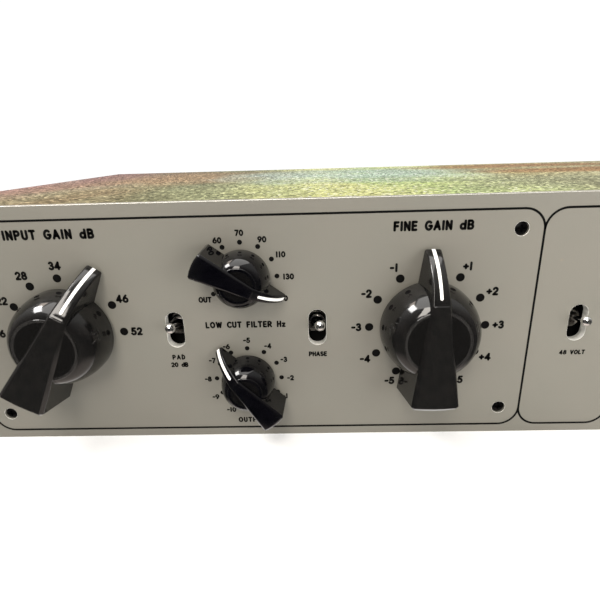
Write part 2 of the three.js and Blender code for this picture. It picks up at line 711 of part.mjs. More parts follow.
function transformerBolt() {
  const { x, y, height } = MAINS_TRANSFORMER;
  const seat = FLOOR + height + GAP + 2 + GAP;
  return join(rodZ(x, y, 2, FLOOR, seat + 0.5, 8), rodZ(x, y, 4, seat, seat + 3.2, 6));
}

function inputTransformer() {
  const { x, y, radius, height } = INPUT_TRANSFORMER;
  const neck = 4;
  return join(
    rodZ(x, y, radius, FLOOR + 3, FLOOR + height, 20),
    rodZ(x, y, radius + 2, FLOOR, FLOOR + 3.1, 20),
    rodZ(x, y, radius - neck, FLOOR + height - 0.1, FLOOR + height + 1.5, 20),
  );
}

function outputTransformer() {
  const { x, y, core, coil } = OUTPUT_TRANSFORMER;
  const middle = FLOOR + 2 + core[2] / 2;
  return join(
    box([x - core[0] / 2 - 8, y - 7, FLOOR], [x + core[0] / 2 + 8, y + 7, FLOOR + 2]),
    around([x, y, FLOOR + 1.95 + core[2] / 2], [core[0], core[1], core[2] + 0.1]),
    around([x, y, middle], coil),
  );
}

const BOARD_CORNERS = [[-1, -1], [1, -1], [-1, 1], [1, 1]].map(([across, along]) => [
  BOARD.x + across * (BOARD.width / 2 - BOARD.inset),
  BOARD.y + along * (BOARD.depth / 2 - BOARD.inset),
]);

// The board with the parts soldered to it: two rows of capacitors, three gain blocks and a relay.
function amplifierBoard() {
  const { x, y, width, depth, z, thickness, holeRadius } = BOARD;
  const top = z + thickness - 0.1;
  let body = box([x - width / 2, y - depth / 2, z], [x + width / 2, y + depth / 2, z + thickness]);
  for (const row of BOARD_CANS) {
    for (let index = 0; index < row.count; index += 1) {
      const canX = x + row.firstX + row.pitch * index;
      body = join(body, rodZ(canX, y + row.y, row.radius, top, top + row.height, 8));
    }
  }
  for (const block of BOARD_BLOCKS) {
    const low = [x + block.x, y + block.y, top];
    body = join(body, box(low, [low[0] + block.width, low[1] + block.depth, top + block.height]));
  }
  for (const [cornerX, cornerY] of BOARD_CORNERS) {
    body = cut(body, rodZ(cornerX, cornerY, holeRadius, z - 1, z + thickness + 1, 8));
  }
  return body;
}

function boardStandoff([x, y]) {
  return rodZ(x, y, 3, FLOOR, BOARD.z - GAP, 6);
}

function heatSink() {
  const { x, y, length, height, foot, thickness } = HEAT_SINK;
  const low = FLOOR;
  let body = join(
    box([x, y - length / 2, low], [x + thickness, y + length / 2, low + height]),
    box([x - foot, y - length / 2, low], [x + thickness, y + length / 2, low + thickness]),
  );
  for (let fin = 0; fin < FIN.count; fin += 1) {
    const centre = y + FIN.first + FIN.pitch * fin;
    const root = [x + thickness - 0.1, centre - FIN.half, low + FIN.low];
    body = join(body, box(root, [x + thickness + FIN.reach, centre + FIN.half, low + height]));
  }
  return body;
}

function powerBoard() {
  const { x, y, thickness: wall } = HEAT_SINK;
  const { thickness, height, length, gap, lift } = POWER_BOARD;
  const right = x - gap;
  const low = FLOOR + wall + GAP + lift;
  let body = box([right - thickness, y - length / 2, low], [right, y + length / 2, low + height]);
  for (const along of REGULATOR.places) {
    body = join(body, box(
      [right - 0.1, y + along - REGULATOR.half, low + REGULATOR.low],
      [right + REGULATOR.depth, y + along + REGULATOR.half, low + REGULATOR.high],
    ));
  }
  return body;
}

function reservoirCapacitor(index) {
  const { x, radius, height, crimp } = CAPACITOR;
  const y = CAPACITOR.firstY + CAPACITOR.pitch * index;
  return join(
    rodZ(x, y, radius, FLOOR, FLOOR + height, 16),
    rodZ(x, y, radius - crimp, FLOOR + height - 0.1, FLOOR + height + 1, 16),
  );
}

addPiece('mains_transformer', mainsTransformer(), 'copper');
addPiece('transformer_clamp', transformerClamp(), 'steel');
addPiece('transformer_bolt', transformerBolt(), 'steel');
addPiece('input_transformer', inputTransformer(), 'steel');
addPiece('output_transformer', outputTransformer(), 'steel');
addPiece('amplifier_board', amplifierBoard(), 'board');
BOARD_CORNERS.forEach((corner, index) => {
  addPiece(`board_standoff_${index + 1}`, boardStandoff(corner), 'steel');
});
addPiece('heat_sink', heatSink(), 'zinc');
addPiece('power_board', powerBoard(), 'board');
[0, 1].forEach((index) => {
  addPiece(`reservoir_capacitor_${index + 1}`, reservoirCapacitor(index), 'sleeve');
});

// Each inside lead is one tube along its route.
function leadTube(points, radius) {
  const route = new THREE.CatmullRomCurve3(points.map((point) => new THREE.Vector3(...point)));
  const section = new THREE.Shape();
  section.absarc(0, 0, radius, 0, TURN);
  return solid(new THREE.ExtrudeGeometry(section, { steps: 24, extrudePath: route, curveSegments: 3 }));
}

const SOCKET_BACK = REAR - XLR.depth - LEAD_GAP;
const INPUT_CAN_TOP = FLOOR + INPUT_TRANSFORMER.height;
const LEADS = {
  input_lead: [
    [INPUT_X, SOCKET_BACK, XLR.z], [INPUT_X, SOCKET_BACK - 10, XLR.z + 6], [INPUT_X - 4, 180, 60],
    [INPUT_TRANSFORMER.x, INPUT_TRANSFORMER.y + 6, INPUT_CAN_TOP + 8],
    [INPUT_TRANSFORMER.x, INPUT_TRANSFORMER.y, INPUT_CAN_TOP + 1.5 + LEAD_RADIUS + LEAD_GAP],
  ],
  output_lead: [
    [OUTPUT_X, SOCKET_BACK, XLR.z], [OUTPUT_X, SOCKET_BACK - 10, XLR.z - 2], [OUTPUT_X - 8, 178, 30],
    [-146, 150, 26], [-150, 120, 26], [-156, 108, 26],
  ],
  mains_lead: [
    [INLET.x, REAR - INLET.depth - LEAD_GAP, INLET.z], [INLET.x + 4, 190, INLET.z + 4], [206, 170, 40],
    [208, 120, 30], [206, 60, 34], [186, 34, 42], [TOGGLES[3].x, 24, 43],
  ],
};

for (const [name, points] of Object.entries(LEADS)) {
  addPiece(name, leadTube(points, LEAD_RADIUS), 'lead');
}

export default unit;
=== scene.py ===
"""The looks of a 19 inch, two-unit-high microphone preamplifier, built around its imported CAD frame."""
import json
import math

import bmesh
import bpy
from mathutils import Matrix, Vector


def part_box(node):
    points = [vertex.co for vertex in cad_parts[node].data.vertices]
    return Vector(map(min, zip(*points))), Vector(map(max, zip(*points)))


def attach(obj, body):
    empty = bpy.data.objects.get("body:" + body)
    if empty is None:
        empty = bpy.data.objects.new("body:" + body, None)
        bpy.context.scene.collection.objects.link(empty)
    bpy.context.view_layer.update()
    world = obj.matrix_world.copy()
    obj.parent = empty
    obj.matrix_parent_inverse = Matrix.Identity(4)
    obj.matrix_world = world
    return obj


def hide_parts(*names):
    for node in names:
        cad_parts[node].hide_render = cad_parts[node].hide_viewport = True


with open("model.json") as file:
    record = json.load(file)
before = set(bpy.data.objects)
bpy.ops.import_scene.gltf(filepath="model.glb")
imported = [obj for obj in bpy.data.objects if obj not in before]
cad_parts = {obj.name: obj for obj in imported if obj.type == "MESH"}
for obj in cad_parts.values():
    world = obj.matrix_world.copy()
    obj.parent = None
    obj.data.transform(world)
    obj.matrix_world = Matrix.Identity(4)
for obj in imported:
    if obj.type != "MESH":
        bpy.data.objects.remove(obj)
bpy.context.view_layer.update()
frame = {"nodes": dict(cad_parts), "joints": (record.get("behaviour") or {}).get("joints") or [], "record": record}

# ---------------------------------------------------------------- places taken from the frame

MM = 0.001
ROOT = "chassis"
PANEL_LOW, PANEL_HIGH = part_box("front_panel")
FACE = PANEL_LOW.y                     # plane of the panel's front face
PANEL_BACK = PANEL_HIGH.y
BACKWARD = Vector((0, 1, 0))
COVER_LOW, COVER_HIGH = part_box("top_cover")
JOINT_PLACE = {joint["name"]: Vector(joint["pos_m"]) for joint in frame["joints"] if "pos_m" in joint}
DIALS = ("voltage_gain", "rumble_filter", "output", "fine_gain")
LARGE_DIALS = ("voltage_gain", "fine_gain")
DIAL_PLACE = {name: JOINT_PLACE[name + "_turn"] for name in DIALS}
POINTER = {"voltage_gain": 59, "rumble_filter": -29, "output": 130, "fine_gain": 90}
TOGGLES = ("pad", "pole", "phantom", "mains")
TOGGLE_PLACE = {name: JOINT_PLACE[name + "_switch"] for name in TOGGLES}


def mm(*points):
    """Points given in millimetres, in metres."""
    return [tuple(value * MM for value in point) for point in points]


def centre_of(node):
    low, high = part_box(node)
    return (low + high) / 2


# ---------------------------------------------------------------- node helpers


class Nodes:
    """A node tree under construction. Sockets go by their Blender names, with _ for a space."""

    def __init__(self, tree):
        self.tree = tree

    def plug(self, socket, value):
        if isinstance(value, bpy.types.NodeSocket):
            self.tree.links.new(value, socket)
        else:
            socket.default_value = value

    def add(self, kind, **inputs):
        node = self.tree.nodes.new("ShaderNode" + kind)
        for name, value in inputs.items():
            self.plug(node.inputs[name.replace("_", " ")], value)
        return node

    def axes(self, vector):
        return self.add("SeparateXYZ", Vector=vector).outputs

    def ramp(self, factor, *stops):
        node = self.add("ValToRGB", Fac=factor)
        elements = node.color_ramp.elements
        while len(elements) < len(stops):
            elements.new(0.5)
        for element, (position, colour) in zip(elements, stops):
            element.position = position
            element.color = (*colour, 1)
        return node.outputs["Color"]

    def scale_to(self, factor, low, high, from_low=0.0, from_high=1.0, smooth=False):
        node = self.add("MapRange", Value=factor, From_Min=from_low, From_Max=from_high, To_Min=low,
                        To_Max=high)
        if smooth:
            node.interpolation_type = "SMOOTHSTEP"
        return node.outputs["Result"]

    def math(self, operation, first, second=0.0):
        node = self.add("Math")
        node.operation = operation
        self.plug(node.inputs[0], first)
        self.plug(node.inputs[1], second)
        return node.outputs[0]

    def mix(self, factor, first, second, blend="MIX"):
        node = self.add("Mix")
        node.data_type = "RGBA"
        node.blend_type = blend
        self.plug(node.inputs["Factor"], factor)
        for name, value in (("A", first), ("B", second)):
            self.plug(node.inputs[name], (*value, 1) if isinstance(value, tuple) else value)
        return node.outputs["Result"]


MATERIALS = {}


class Look(Nodes):
    """A node material under construction, on its own Principled shader."""

    def __init__(self, name, **sockets):
        self.material = bpy.data.materials.new(name)
        self.material.use_nodes = True
        super().__init__(self.material.node_tree)
        MATERIALS[name] = self.material
        self.shader = self.tree.nodes["Principled BSDF"]
        self.coords = self.add("TexCoord").outputs["Object"]
        for socket, value in sockets.items():
            self.shader.inputs[socket.replace("_", " ")].default_value = value

    def stretched(self, x, y, z):
        return self.add("Mapping", Vector=self.coords, Scale=(x, y, z)).outputs["Vector"]

    def noise(self, scale, detail=4.0, roughness=0.55, coords=None, distortion=0.0):
        node = self.add("TexNoise", Vector=coords or self.coords, Scale=scale, Detail=detail,
                        Roughness=roughness, Distortion=distortion)
        return node.outputs["Fac"]

    def cells(self, scale, coords=None):
        return self.add("TexVoronoi", Vector=coords or self.coords, Scale=scale)

    def wave(self, **inputs):
        return self.add("TexWave", Vector=self.coords, **inputs).outputs["Fac"]

    def patch(self, centre, reach, warp):
        """1 inside an ellipse on the sheet, fading to 0 past its edge, which the warp makes ragged."""
        place = self.axes(self.coords)
        spans = []
        for axis, middle, size in zip("XY", centre, reach):
            start = FACE if axis == "Y" else 0.0
            offset = self.math("SUBTRACT", place[axis], start + middle)
            spans.append(self.math("POWER", self.math("ABSOLUTE", self.math("DIVIDE", offset, size)), 2.0))
        ragged = self.math("ADD", self.math("ADD", *spans), self.scale_to(warp, -1.8, 1.8))
        return self.scale_to(ragged, 0.8, 0.0, 0.2, 1.9)

    def specks(self, scale, core, edge, spread, *share):
        """Dots at cell centres, fading from core to edge, kept only where a slow noise is high."""
        speck = self.ramp(self.cells(scale).outputs["Distance"], (0.0, grey(1)), core, (edge, grey(0)))
        return self.math("MULTIPLY", speck, self.ramp(self.noise(spread, 2.0), *share))

    def bump(self, height, distance, strength, under=None):
        node = self.add("Bump", Height=height, Distance=distance, Strength=strength)
        if under is not None:
            self.plug(node.inputs["Normal"], under)
        return node.outputs["Normal"]

    def finish(self, colour, roughness=None, normal=None):
        for name, value in (("Base Color", colour), ("Roughness", roughness), ("Normal", normal)):
            if value is not None:
                self.plug(self.shader.inputs[name], value)


def grey(value):
    return (value, value, value)


# ---------------------------------------------------------------- materials


def panel_paint():
    look = Look("panel_paint", Specular_IOR_Level=0.5)
    broad = look.noise(6.0, 3.0)
    cloud = look.noise(38.0, 4.0)
    colour = look.ramp(broad, (0.3, (0.158, 0.150, 0.128)), (0.7, (0.186, 0.176, 0.150)))
    colour = look.mix(look.scale_to(cloud, 0.0, 0.35, 0.35, 0.75), colour, (0.166, 0.168, 0.143))
    stain = look.specks(46.0, (0.022, grey(0.85)), 0.04, 11.0, (0.58, grey(0)), (0.66, grey(0.55)))
    colour = look.mix(stain, colour, (0.24, 0.19, 0.13))
    grain = look.bump(look.noise(1500.0, 3.0), 0.00003, 0.5)
    peel = look.bump(look.noise(420.0, 2.0), 0.00006, 0.35, grain)
    look.finish(colour, look.scale_to(look.noise(60.0, 5.0), 0.36, 0.5), peel)


def passivated_steel():
    """Yellow passivate: a thin film whose colour drifts over the sheet, on rolled grain whose flakes carry painted
    glints.
    """
    look = Look("passivated_steel", Metallic=0.92, Anisotropic=0.3)
    warp = look.noise(9.0, 4.0, 0.6, look.stretched(1.0, 0.45, 1.0))
    across = look.axes(look.coords)["X"]
    drift = look.math("ADD", look.scale_to(across, 0.0, 1.0, -0.22, 0.22), look.scale_to(warp, -0.16, 0.16))
    film = look.ramp(
        drift,
        (0.00, (0.34, 0.235, 0.225)), (0.14, (0.31, 0.26, 0.18)), (0.21, (0.31, 0.31, 0.21)),
        (0.27, (0.46, 0.48, 0.31)), (0.34, (0.86, 0.88, 0.47)), (0.39, (0.88, 0.90, 0.48)),
        (0.44, (0.72, 0.83, 0.41)), (0.53, (0.86, 0.92, 0.52)), (0.60, (0.60, 0.52, 0.30)),
        (0.72, (0.66, 0.62, 0.42)), (0.86, (0.50, 0.44, 0.30)), (1.00, (0.44, 0.36, 0.22)),
    )
    tear = look.noise(24.0, 5.0, 0.62, look.stretched(0.6, 1.0, 1.0), 0.6)
    for centre, reach, colour in (((-0.12, 0.145), (0.05, 0.05), (0.40, 0.31, 0.22)),
                                  ((-0.035, 0.135), (0.065, 0.06), (0.51, 0.64, 0.59)),
                                  ((0.075, 0.185), (0.06, 0.022), (0.50, 0.29, 0.16)),
                                  ((0.10, 0.125), (0.065, 0.02), (0.50, 0.30, 0.17)),
                                  ((0.06, 0.05), (0.06, 0.045), (0.40, 0.42, 0.30))):
        film = look.mix(look.patch(centre, reach, tear), film, colour)
    sheen = look.noise(24.0, 4.0, 0.5, look.stretched(1.0, 0.5, 1.0))
    film = look.mix(look.scale_to(sheen, 0.0, 0.3, 0.5, 0.8), film, (0.48, 0.60, 0.46))
    # Flakes vary the film's tone, and the brightest, above one, are painted glints.
    flake = look.cells(1000.0, look.stretched(1.0, 0.7, 1.0))
    flake_tone_and_glint = look.ramp(look.axes(flake.outputs["Color"])["X"],
                        (0.0, grey(0.38)), (0.6, grey(0.95)), (0.9, grey(1.35)), (1.0, grey(2.2)))
    film = look.mix(1.0, film, flake_tone_and_glint, "MULTIPLY")
    roughness = look.scale_to(look.noise(700.0, 3.0), 0.24, 0.46)
    normal = look.bump(look.noise(1100.0, 3.0, 0.6, look.stretched(0.6, 1.0, 1.0)), 0.00012, 0.55)
    normal = look.bump(look.noise(160.0, 3.0, 0.5, look.stretched(0.4, 1.0, 1.0)), 0.0002, 0.25, normal)
    look.plug(look.shader.inputs["Specular Tint"], film)
    look.finish(film, roughness, normal)


def bare_edge_and_highlight():
    """The panel's milled edges: bright aluminium with fine tool marks, whose brightness is also a painted
    highlight for the light the walls and bevels catch from above.
    """
    look = Look("bare_edge_and_highlight", Metallic=0.35, Specular_IOR_Level=0.6)
    marks = look.noise(900.0, 3.0, 0.5, look.stretched(1.0, 0.2, 1.0))
    colour = look.mix(marks, (0.74, 0.73, 0.68), (0.86, 0.85, 0.80))
    look.finish(colour, look.scale_to(marks, 0.3, 0.45), look.bump(marks, 0.00002, 0.4))


def plated_metal(name, low, high, rough_low, rough_high, stretch=(1, 1, 1), depth=0.00002):
    look = Look(name, Metallic=1.0)
    grain = look.noise(240.0, 4.0, 0.6, look.stretched(*stretch))
    colour = look.mix(look.scale_to(look.noise(20.0, 3.0), 0, 1, 0.3, 0.7), low, high)
    normal = look.bump(grain, depth, 0.4)
    look.finish(colour, look.scale_to(grain, rough_low, rough_high, 0.3, 0.7), normal)


def knob_gloss(name, low, high, specular, rough_low, rough_high):
    look = Look(name, Specular_IOR_Level=specular, Coat_Weight=0.08, Coat_Roughness=0.05)
    colour = look.mix(look.scale_to(look.noise(300.0, 3.0), 0, 1, 0.35, 0.7), low, high)
    dust = look.specks(520.0, (0.05, grey(0.6)), 0.09, 60.0, (0.6, grey(0)), (0.68, grey(0.35)))
    smudge = look.scale_to(look.noise(90.0, 5.0, 0.6), rough_low, rough_high, 0.35, 0.7)
    ripple = look.bump(look.noise(140.0, 2.0), 0.00005, 0.18)
    look.finish(look.mix(dust, colour, (0.18, 0.17, 0.16)), smudge, ripple)


def knob_matt():
    look = Look("knob_matt", Specular_IOR_Level=0.45)
    fine = look.noise(900.0, 3.0)
    colour = look.mix(fine, (0.002, 0.002, 0.002), (0.004, 0.0036, 0.0036))
    look.finish(colour, look.scale_to(fine, 0.18, 0.28), look.bump(fine, 0.00001, 0.15))


def moulding(name, low, high, rough_low=0.4, rough_high=0.58):
    look = Look(name)
    fine = look.noise(700.0, 3.0)
    colour = look.mix(look.noise(35.0, 3.0), low, high)
    look.finish(colour, look.scale_to(fine, rough_low, rough_high), look.bump(fine, 0.00005, 0.35))


def ink(name, low, high):
    look = Look(name, Specular_IOR_Level=0.12)
    fine = look.noise(1600.0, 3.0)
    look.finish(look.mix(fine, low, high), look.scale_to(fine, 0.42, 0.6), look.bump(fine, 0.00002, 0.4))


def lens_red():
    look = Look("lens_red", Transmission_Weight=0.55, IOR=1.49, Coat_Weight=0.4)
    swirl = look.noise(300.0, 3.0)
    colour = look.mix(swirl, (0.42, 0.012, 0.008), (0.62, 0.03, 0.02))
    look.finish(colour, look.scale_to(swirl, 0.05, 0.12), look.bump(look.noise(90.0), 0.00008, 0.2))


def wound_tape():
    look = Look("winding_tape", Specular_IOR_Level=0.6)
    band = look.scale_to(look.wave(Scale=34.0, Distortion=2.2, Detail=2.0), 0, 1, 0.2, 0.8)
    colour = look.mix(band, (0.50, 0.36, 0.06), (0.62, 0.47, 0.11))
    look.finish(colour, look.scale_to(look.noise(90.0), 0.2, 0.4), look.bump(band, 0.0002, 0.5))


def laminations():
    look = Look("core_lamination", Metallic=0.55)
    sheet = look.wave(Scale=380.0, Distortion=0.3)
    colour = look.mix(sheet, (0.045, 0.044, 0.046), (0.13, 0.125, 0.12))
    look.finish(colour, look.scale_to(look.noise(200.0), 0.35, 0.6), look.bump(sheet, 0.00015, 0.6))


def circuit_board():
    look = Look("circuit_board", Specular_IOR_Level=0.55)
    brick = look.cells(120.0, look.stretched(1.0, 1.0, 0.01))
    brick.distance = "MANHATTAN"
    tracks = look.ramp(brick.outputs["Distance"], (0.30, grey(0)), (0.33, grey(1)), (0.40, grey(1)),
                       (0.43, grey(0)))
    colour = look.mix(tracks, (0.010, 0.085, 0.032), (0.028, 0.170, 0.070))
    look.finish(colour, look.scale_to(look.noise(400.0), 0.25, 0.4), look.bump(tracks, 0.00004, 0.6))


def build_materials():
    rolled = (0.4, 2.2, 2.2)
    panel_paint()
    bare_edge_and_highlight()
    passivated_steel()
    plated_metal("zinc_steel", (0.50, 0.51, 0.53), (0.60, 0.61, 0.62), 0.28, 0.42, rolled)
    plated_metal("steel", (0.46, 0.46, 0.46), (0.58, 0.58, 0.57), 0.22, 0.38)
    plated_metal("chrome", (0.78, 0.78, 0.79), (0.84, 0.84, 0.85), 0.04, 0.09, depth=0.000004)
    plated_metal("dark_nickel", (0.26, 0.25, 0.235), (0.36, 0.345, 0.32), 0.2, 0.34)
    plated_metal("connector_nickel", (0.48, 0.47, 0.44), (0.58, 0.57, 0.54), 0.24, 0.36)
    plated_metal("brass", (0.62, 0.44, 0.18), (0.72, 0.53, 0.24), 0.2, 0.34)
    plated_metal("screw_black", (0.018, 0.018, 0.019), (0.035, 0.035, 0.036), 0.26, 0.42)
    knob_gloss("knob_black", (0.004, 0.004, 0.004), (0.007, 0.0064, 0.0062), 0.5, 0.06, 0.15)
    knob_gloss("knob_jet", (0.0010, 0.0010, 0.0016), (0.0020, 0.0019, 0.0026), 0.38, 0.03, 0.08)
    knob_matt()
    knob_gloss("knob_lip", (0.014, 0.013, 0.013), (0.022, 0.021, 0.020), 0.8, 0.16, 0.24)
    moulding("black_moulding", (0.012, 0.012, 0.013), (0.024, 0.024, 0.025))
    moulding("insulator", (0.030, 0.030, 0.032), (0.055, 0.055, 0.056))
    ink("legend_black", (0.0015, 0.0015, 0.0015), (0.004, 0.004, 0.004))
    # matt_black also blacks the sub-panel: painted shade seen through the panel's slots.
    ink("matt_black", (0.004, 0.004, 0.004), (0.009, 0.009, 0.009))
    ink("inlay_white", (0.80, 0.79, 0.76), (0.90, 0.89, 0.87))
    lens_red()
    wound_tape()
    laminations()
    circuit_board()
    moulding("capacitor_sleeve", (0.012, 0.018, 0.040), (0.022, 0.032, 0.066), 0.2, 0.32)
    moulding("lead_sleeve", (0.035, 0.036, 0.040), (0.060, 0.060, 0.064))


build_materials()

# ---------------------------------------------------------------- mesh helpers

SHARP = math.radians(32)


def placed(name, data):
    """A new object on the given data, in the scene."""
    thing = bpy.data.objects.new(name, data)
    bpy.context.scene.collection.objects.link(thing)
    return thing


def evaluated_mesh(thing):
    """The mesh that an object's curve or modifiers make."""
    bpy.context.view_layer.update()
    return bpy.data.meshes.new_from_object(thing.evaluated_get(bpy.context.evaluated_depsgraph_get()))


def join(work, *extras):
    """Moves the shapes of other bmeshes into this one, and frees them."""
    for extra in extras:
        mesh = bpy.data.meshes.new("extra")
        extra.to_mesh(mesh)
        extra.free()
        work.from_mesh(mesh)
        bpy.data.meshes.remove(mesh)


def add_piece(name, work, materials, body, replaces=(), flat_area=4e-5):
    """Turns a bmesh into a piece, with normals facing out, small faces smooth and sharp edges kept."""
    bmesh.ops.remove_doubles(work, verts=work.verts, dist=1e-7)
    bmesh.ops.recalc_face_normals(work, faces=work.faces)
    for face in work.faces:
        square_on = max(abs(part) for part in face.normal) > 0.99999
        face.smooth = face.calc_area() < flat_area and not square_on
    for edge in work.edges:
        edge.smooth = len(edge.link_faces) == 2 and edge.calc_face_angle(0) < SHARP
    mesh = bpy.data.meshes.new(name)
    work.to_mesh(mesh)
    work.free()
    piece = placed(name, mesh)
    for material in [materials] if isinstance(materials, str) else materials:
        mesh.materials.append(MATERIALS[material])
    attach(piece, body)
    if replaces:
        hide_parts(*replaces)
    return piece


def turned(work, profile, origin, forward=Vector((0, -1, 0)), segments=48, material=0):
    """Adds a lathed surface: profile points are (radius, distance along forward)."""
    forward = forward.normalized()
    side = forward.orthogonal().normalized()
    other = forward.cross(side)
    rings = []
    for radius, distance in profile:
        centre = origin + forward * distance
        if radius < 1e-9:
            rings.append([work.verts.new(centre)])
            continue
        angles = [math.tau * step / segments for step in range(segments)]
        rings.append([work.verts.new(centre + radius * (side * math.cos(angle) + other * math.sin(angle)))
                      for angle in angles])
    for lower, upper in zip(rings, rings[1:]):
        if len(lower) == 1 and len(upper) == 1:
            continue
        for step in range(segments):
            following = (step + 1) % segments
            if len(lower) == 1:
                corners = [lower[0], upper[step], upper[following]]
            elif len(upper) == 1:
                corners = [lower[step], lower[following], upper[0]]
            else:
                corners = [lower[step], lower[following], upper[following], upper[step]]
            work.faces.new(corners).material_index = material
    return work


def arc_points(centre_x, centre_z, radius_x, radius_z, start, end, steps):
    """Points on an ellipse from start to end, in degrees."""
    points = []
    for step in range(steps + 1):
        angle = math.radians(start + (end - start) * step / steps)
        points.append((centre_x + radius_x * math.cos(angle), centre_z + radius_z * math.sin(angle)))
    return points


def rounded_rectangle(centre_x, centre_z, width, height, radius, steps=8):
    """A closed outline, anticlockwise, without a repeated last point."""
    reach_x = width / 2 - radius
    reach_z = height / 2 - radius
    points = []
    for quarter, (sign_x, sign_z) in enumerate(((1, 1), (-1, 1), (-1, -1), (1, -1))):
        points += arc_points(centre_x + sign_x * reach_x, centre_z + sign_z * reach_z, radius, radius,
                             90 * quarter, 90 * quarter + 90, steps)
    return points


def circle(centre_x, centre_z, radius, steps=40):
    return arc_points(centre_x, centre_z, radius, radius, 0, 360, steps)[:-1]


def slot_outline(centre_x, centre_z, width, height, steps):
    """A slot with round ends, whose radius is a hair under half its width, so that no two points meet."""
    return rounded_rectangle(centre_x, centre_z, width, height, min(width, height) / 2 - 1e-6, steps)


def hexagon(place, radius, turn=0.0):
    angles = [math.tau * corner / 6 + turn for corner in range(6)]
    return [(place.x + radius * math.cos(angle), place.z + radius * math.sin(angle)) for angle in angles]


def plate_mesh(outlines, front, back, bevel):
    """A flat plate in X and Z between two Y planes. The first outline is its edge, the rest are its holes."""
    curve = bpy.data.curves.new("plate", "CURVE")
    curve.dimensions = "2D"
    curve.fill_mode = "BOTH"
    curve.extrude = (back - front) / 2 - bevel
    curve.bevel_depth = bevel
    curve.bevel_resolution = 2
    curve.offset = -bevel
    for outline in outlines:
        spline = curve.splines.new("POLY")
        spline.points.add(len(outline) - 1)
        for point, (x, z) in zip(spline.points, outline):
            point.co = (x, z, 0, 1)
        spline.use_cyclic_u = True
    holder = placed("plate", curve)
    mesh = evaluated_mesh(holder)
    work = bmesh.new()
    work.from_mesh(mesh)
    bpy.data.objects.remove(holder)
    bpy.data.curves.remove(curve)
    bpy.data.meshes.remove(mesh)
    turn = Matrix.Translation((0, (front + back) / 2, 0)) @ Matrix.Rotation(math.pi / 2, 4, "X")
    bmesh.ops.transform(work, matrix=turn, verts=work.verts)
    return work


def block(work, low, high, bevel=0.0, segments=2, material=0):
    """A box between two corners, with rounded edges."""
    verts = bmesh.ops.create_cube(work, size=1.0)["verts"]
    size = [high[axis] - low[axis] for axis in range(3)]
    centre = [(high[axis] + low[axis]) / 2 for axis in range(3)]
    bmesh.ops.transform(work, matrix=Matrix.Translation(centre) @ Matrix.Diagonal((*size, 1)), verts=verts)
    faces = {face for vert in verts for face in vert.link_faces}
    for face in faces:
        face.material_index = material
    if bevel:
        edges = list({edge for vert in verts for edge in vert.link_edges})
        bmesh.ops.bevel(work, geom=edges, offset=bevel, segments=segments, profile=0.5, affect="EDGES",
                        clamp_overlap=True, material=-1)


# ---------------------------------------------------------------- strokes and lettering

LEGEND_PROUD = 0.03 * MM
LEGEND_SUNK = 0.05 * MM


def add_stroke(work, points, half, closed=False):
    """A thin raised ribbon along points (x, z) on the panel's face, with round ends."""
    count = len(points)
    sides = []
    for index, (x, z) in enumerate(points):
        before = points[index - 1] if index or closed else None
        after = points[(index + 1) % count] if index < count - 1 or closed else None
        ways = []
        if before:
            ways.append(Vector((x - before[0], z - before[1])).normalized())
        if after:
            ways.append(Vector((after[0] - x, after[1] - z)).normalized())
        way = sum(ways, Vector((0, 0)))
        way = way.normalized() if way.length > 1e-6 else ways[0]
        stretch = 1 / max(0.45, abs(way.dot(ways[-1])))
        across = Vector((-way.y, way.x)) * half * stretch
        sides.append(((x + across.x, z + across.y), (x - across.x, z - across.y)))
    top = FACE - LEGEND_PROUD
    rows = [[work.verts.new((px, top, pz)) for px, pz in pair] for pair in sides]
    faces = []
    spans = list(zip(rows, rows[1:] + rows[:1])) if closed else list(zip(rows, rows[1:]))
    for (left, right), (next_left, next_right) in spans:
        faces.append(work.faces.new((left, right, next_right, next_left)))
    if not closed:
        for end, inner, row in ((0, 1, rows[0]), (count - 1, count - 2, rows[-1])):
            x, z = points[end]
            outward = math.degrees(math.atan2(z - points[inner][1], x - points[inner][0]))
            ring = arc_points(x, z, half, half, outward + 90, outward - 90, 6)[1:-1]
            tip = [work.verts.new((px, top, pz)) for px, pz in ring]
            first, last = row if end else row[::-1]
            faces.append(work.faces.new([first] + tip + [last]))
    return faces


def parted(points):
    """A letter's stroke cut at its sharp corners, so that each part has its own round ends."""
    parts = [[points[0]]]
    for before, here, after in zip(points, points[1:], points[2:]):
        way = Vector((here[0] - before[0], here[1] - before[1])).normalized()
        following = Vector((after[0] - here[0], after[1] - here[1])).normalized()
        parts[-1].append(here)
        if way.dot(following) < 0.45:
            parts.append([here])
    parts[-1].append(points[-1])
    return parts


def add_dot(work, x, z, radius):
    top = FACE - LEGEND_PROUD
    verts = [work.verts.new((px, top, pz)) for px, pz in circle(x, z, radius, 28)]
    return [work.faces.new(verts)]


def thicken(work, faces):
    """Gives printed faces their small depth, so that each is a closed solid."""
    made = bmesh.ops.extrude_face_region(work, geom=faces)
    moved = [item for item in made["geom"] if isinstance(item, bmesh.types.BMVert)]
    bmesh.ops.translate(work, verts=moved, vec=(0, LEGEND_PROUD + LEGEND_SUNK, 0))


def bow(*args, steps=8):
    return arc_points(*args, steps)


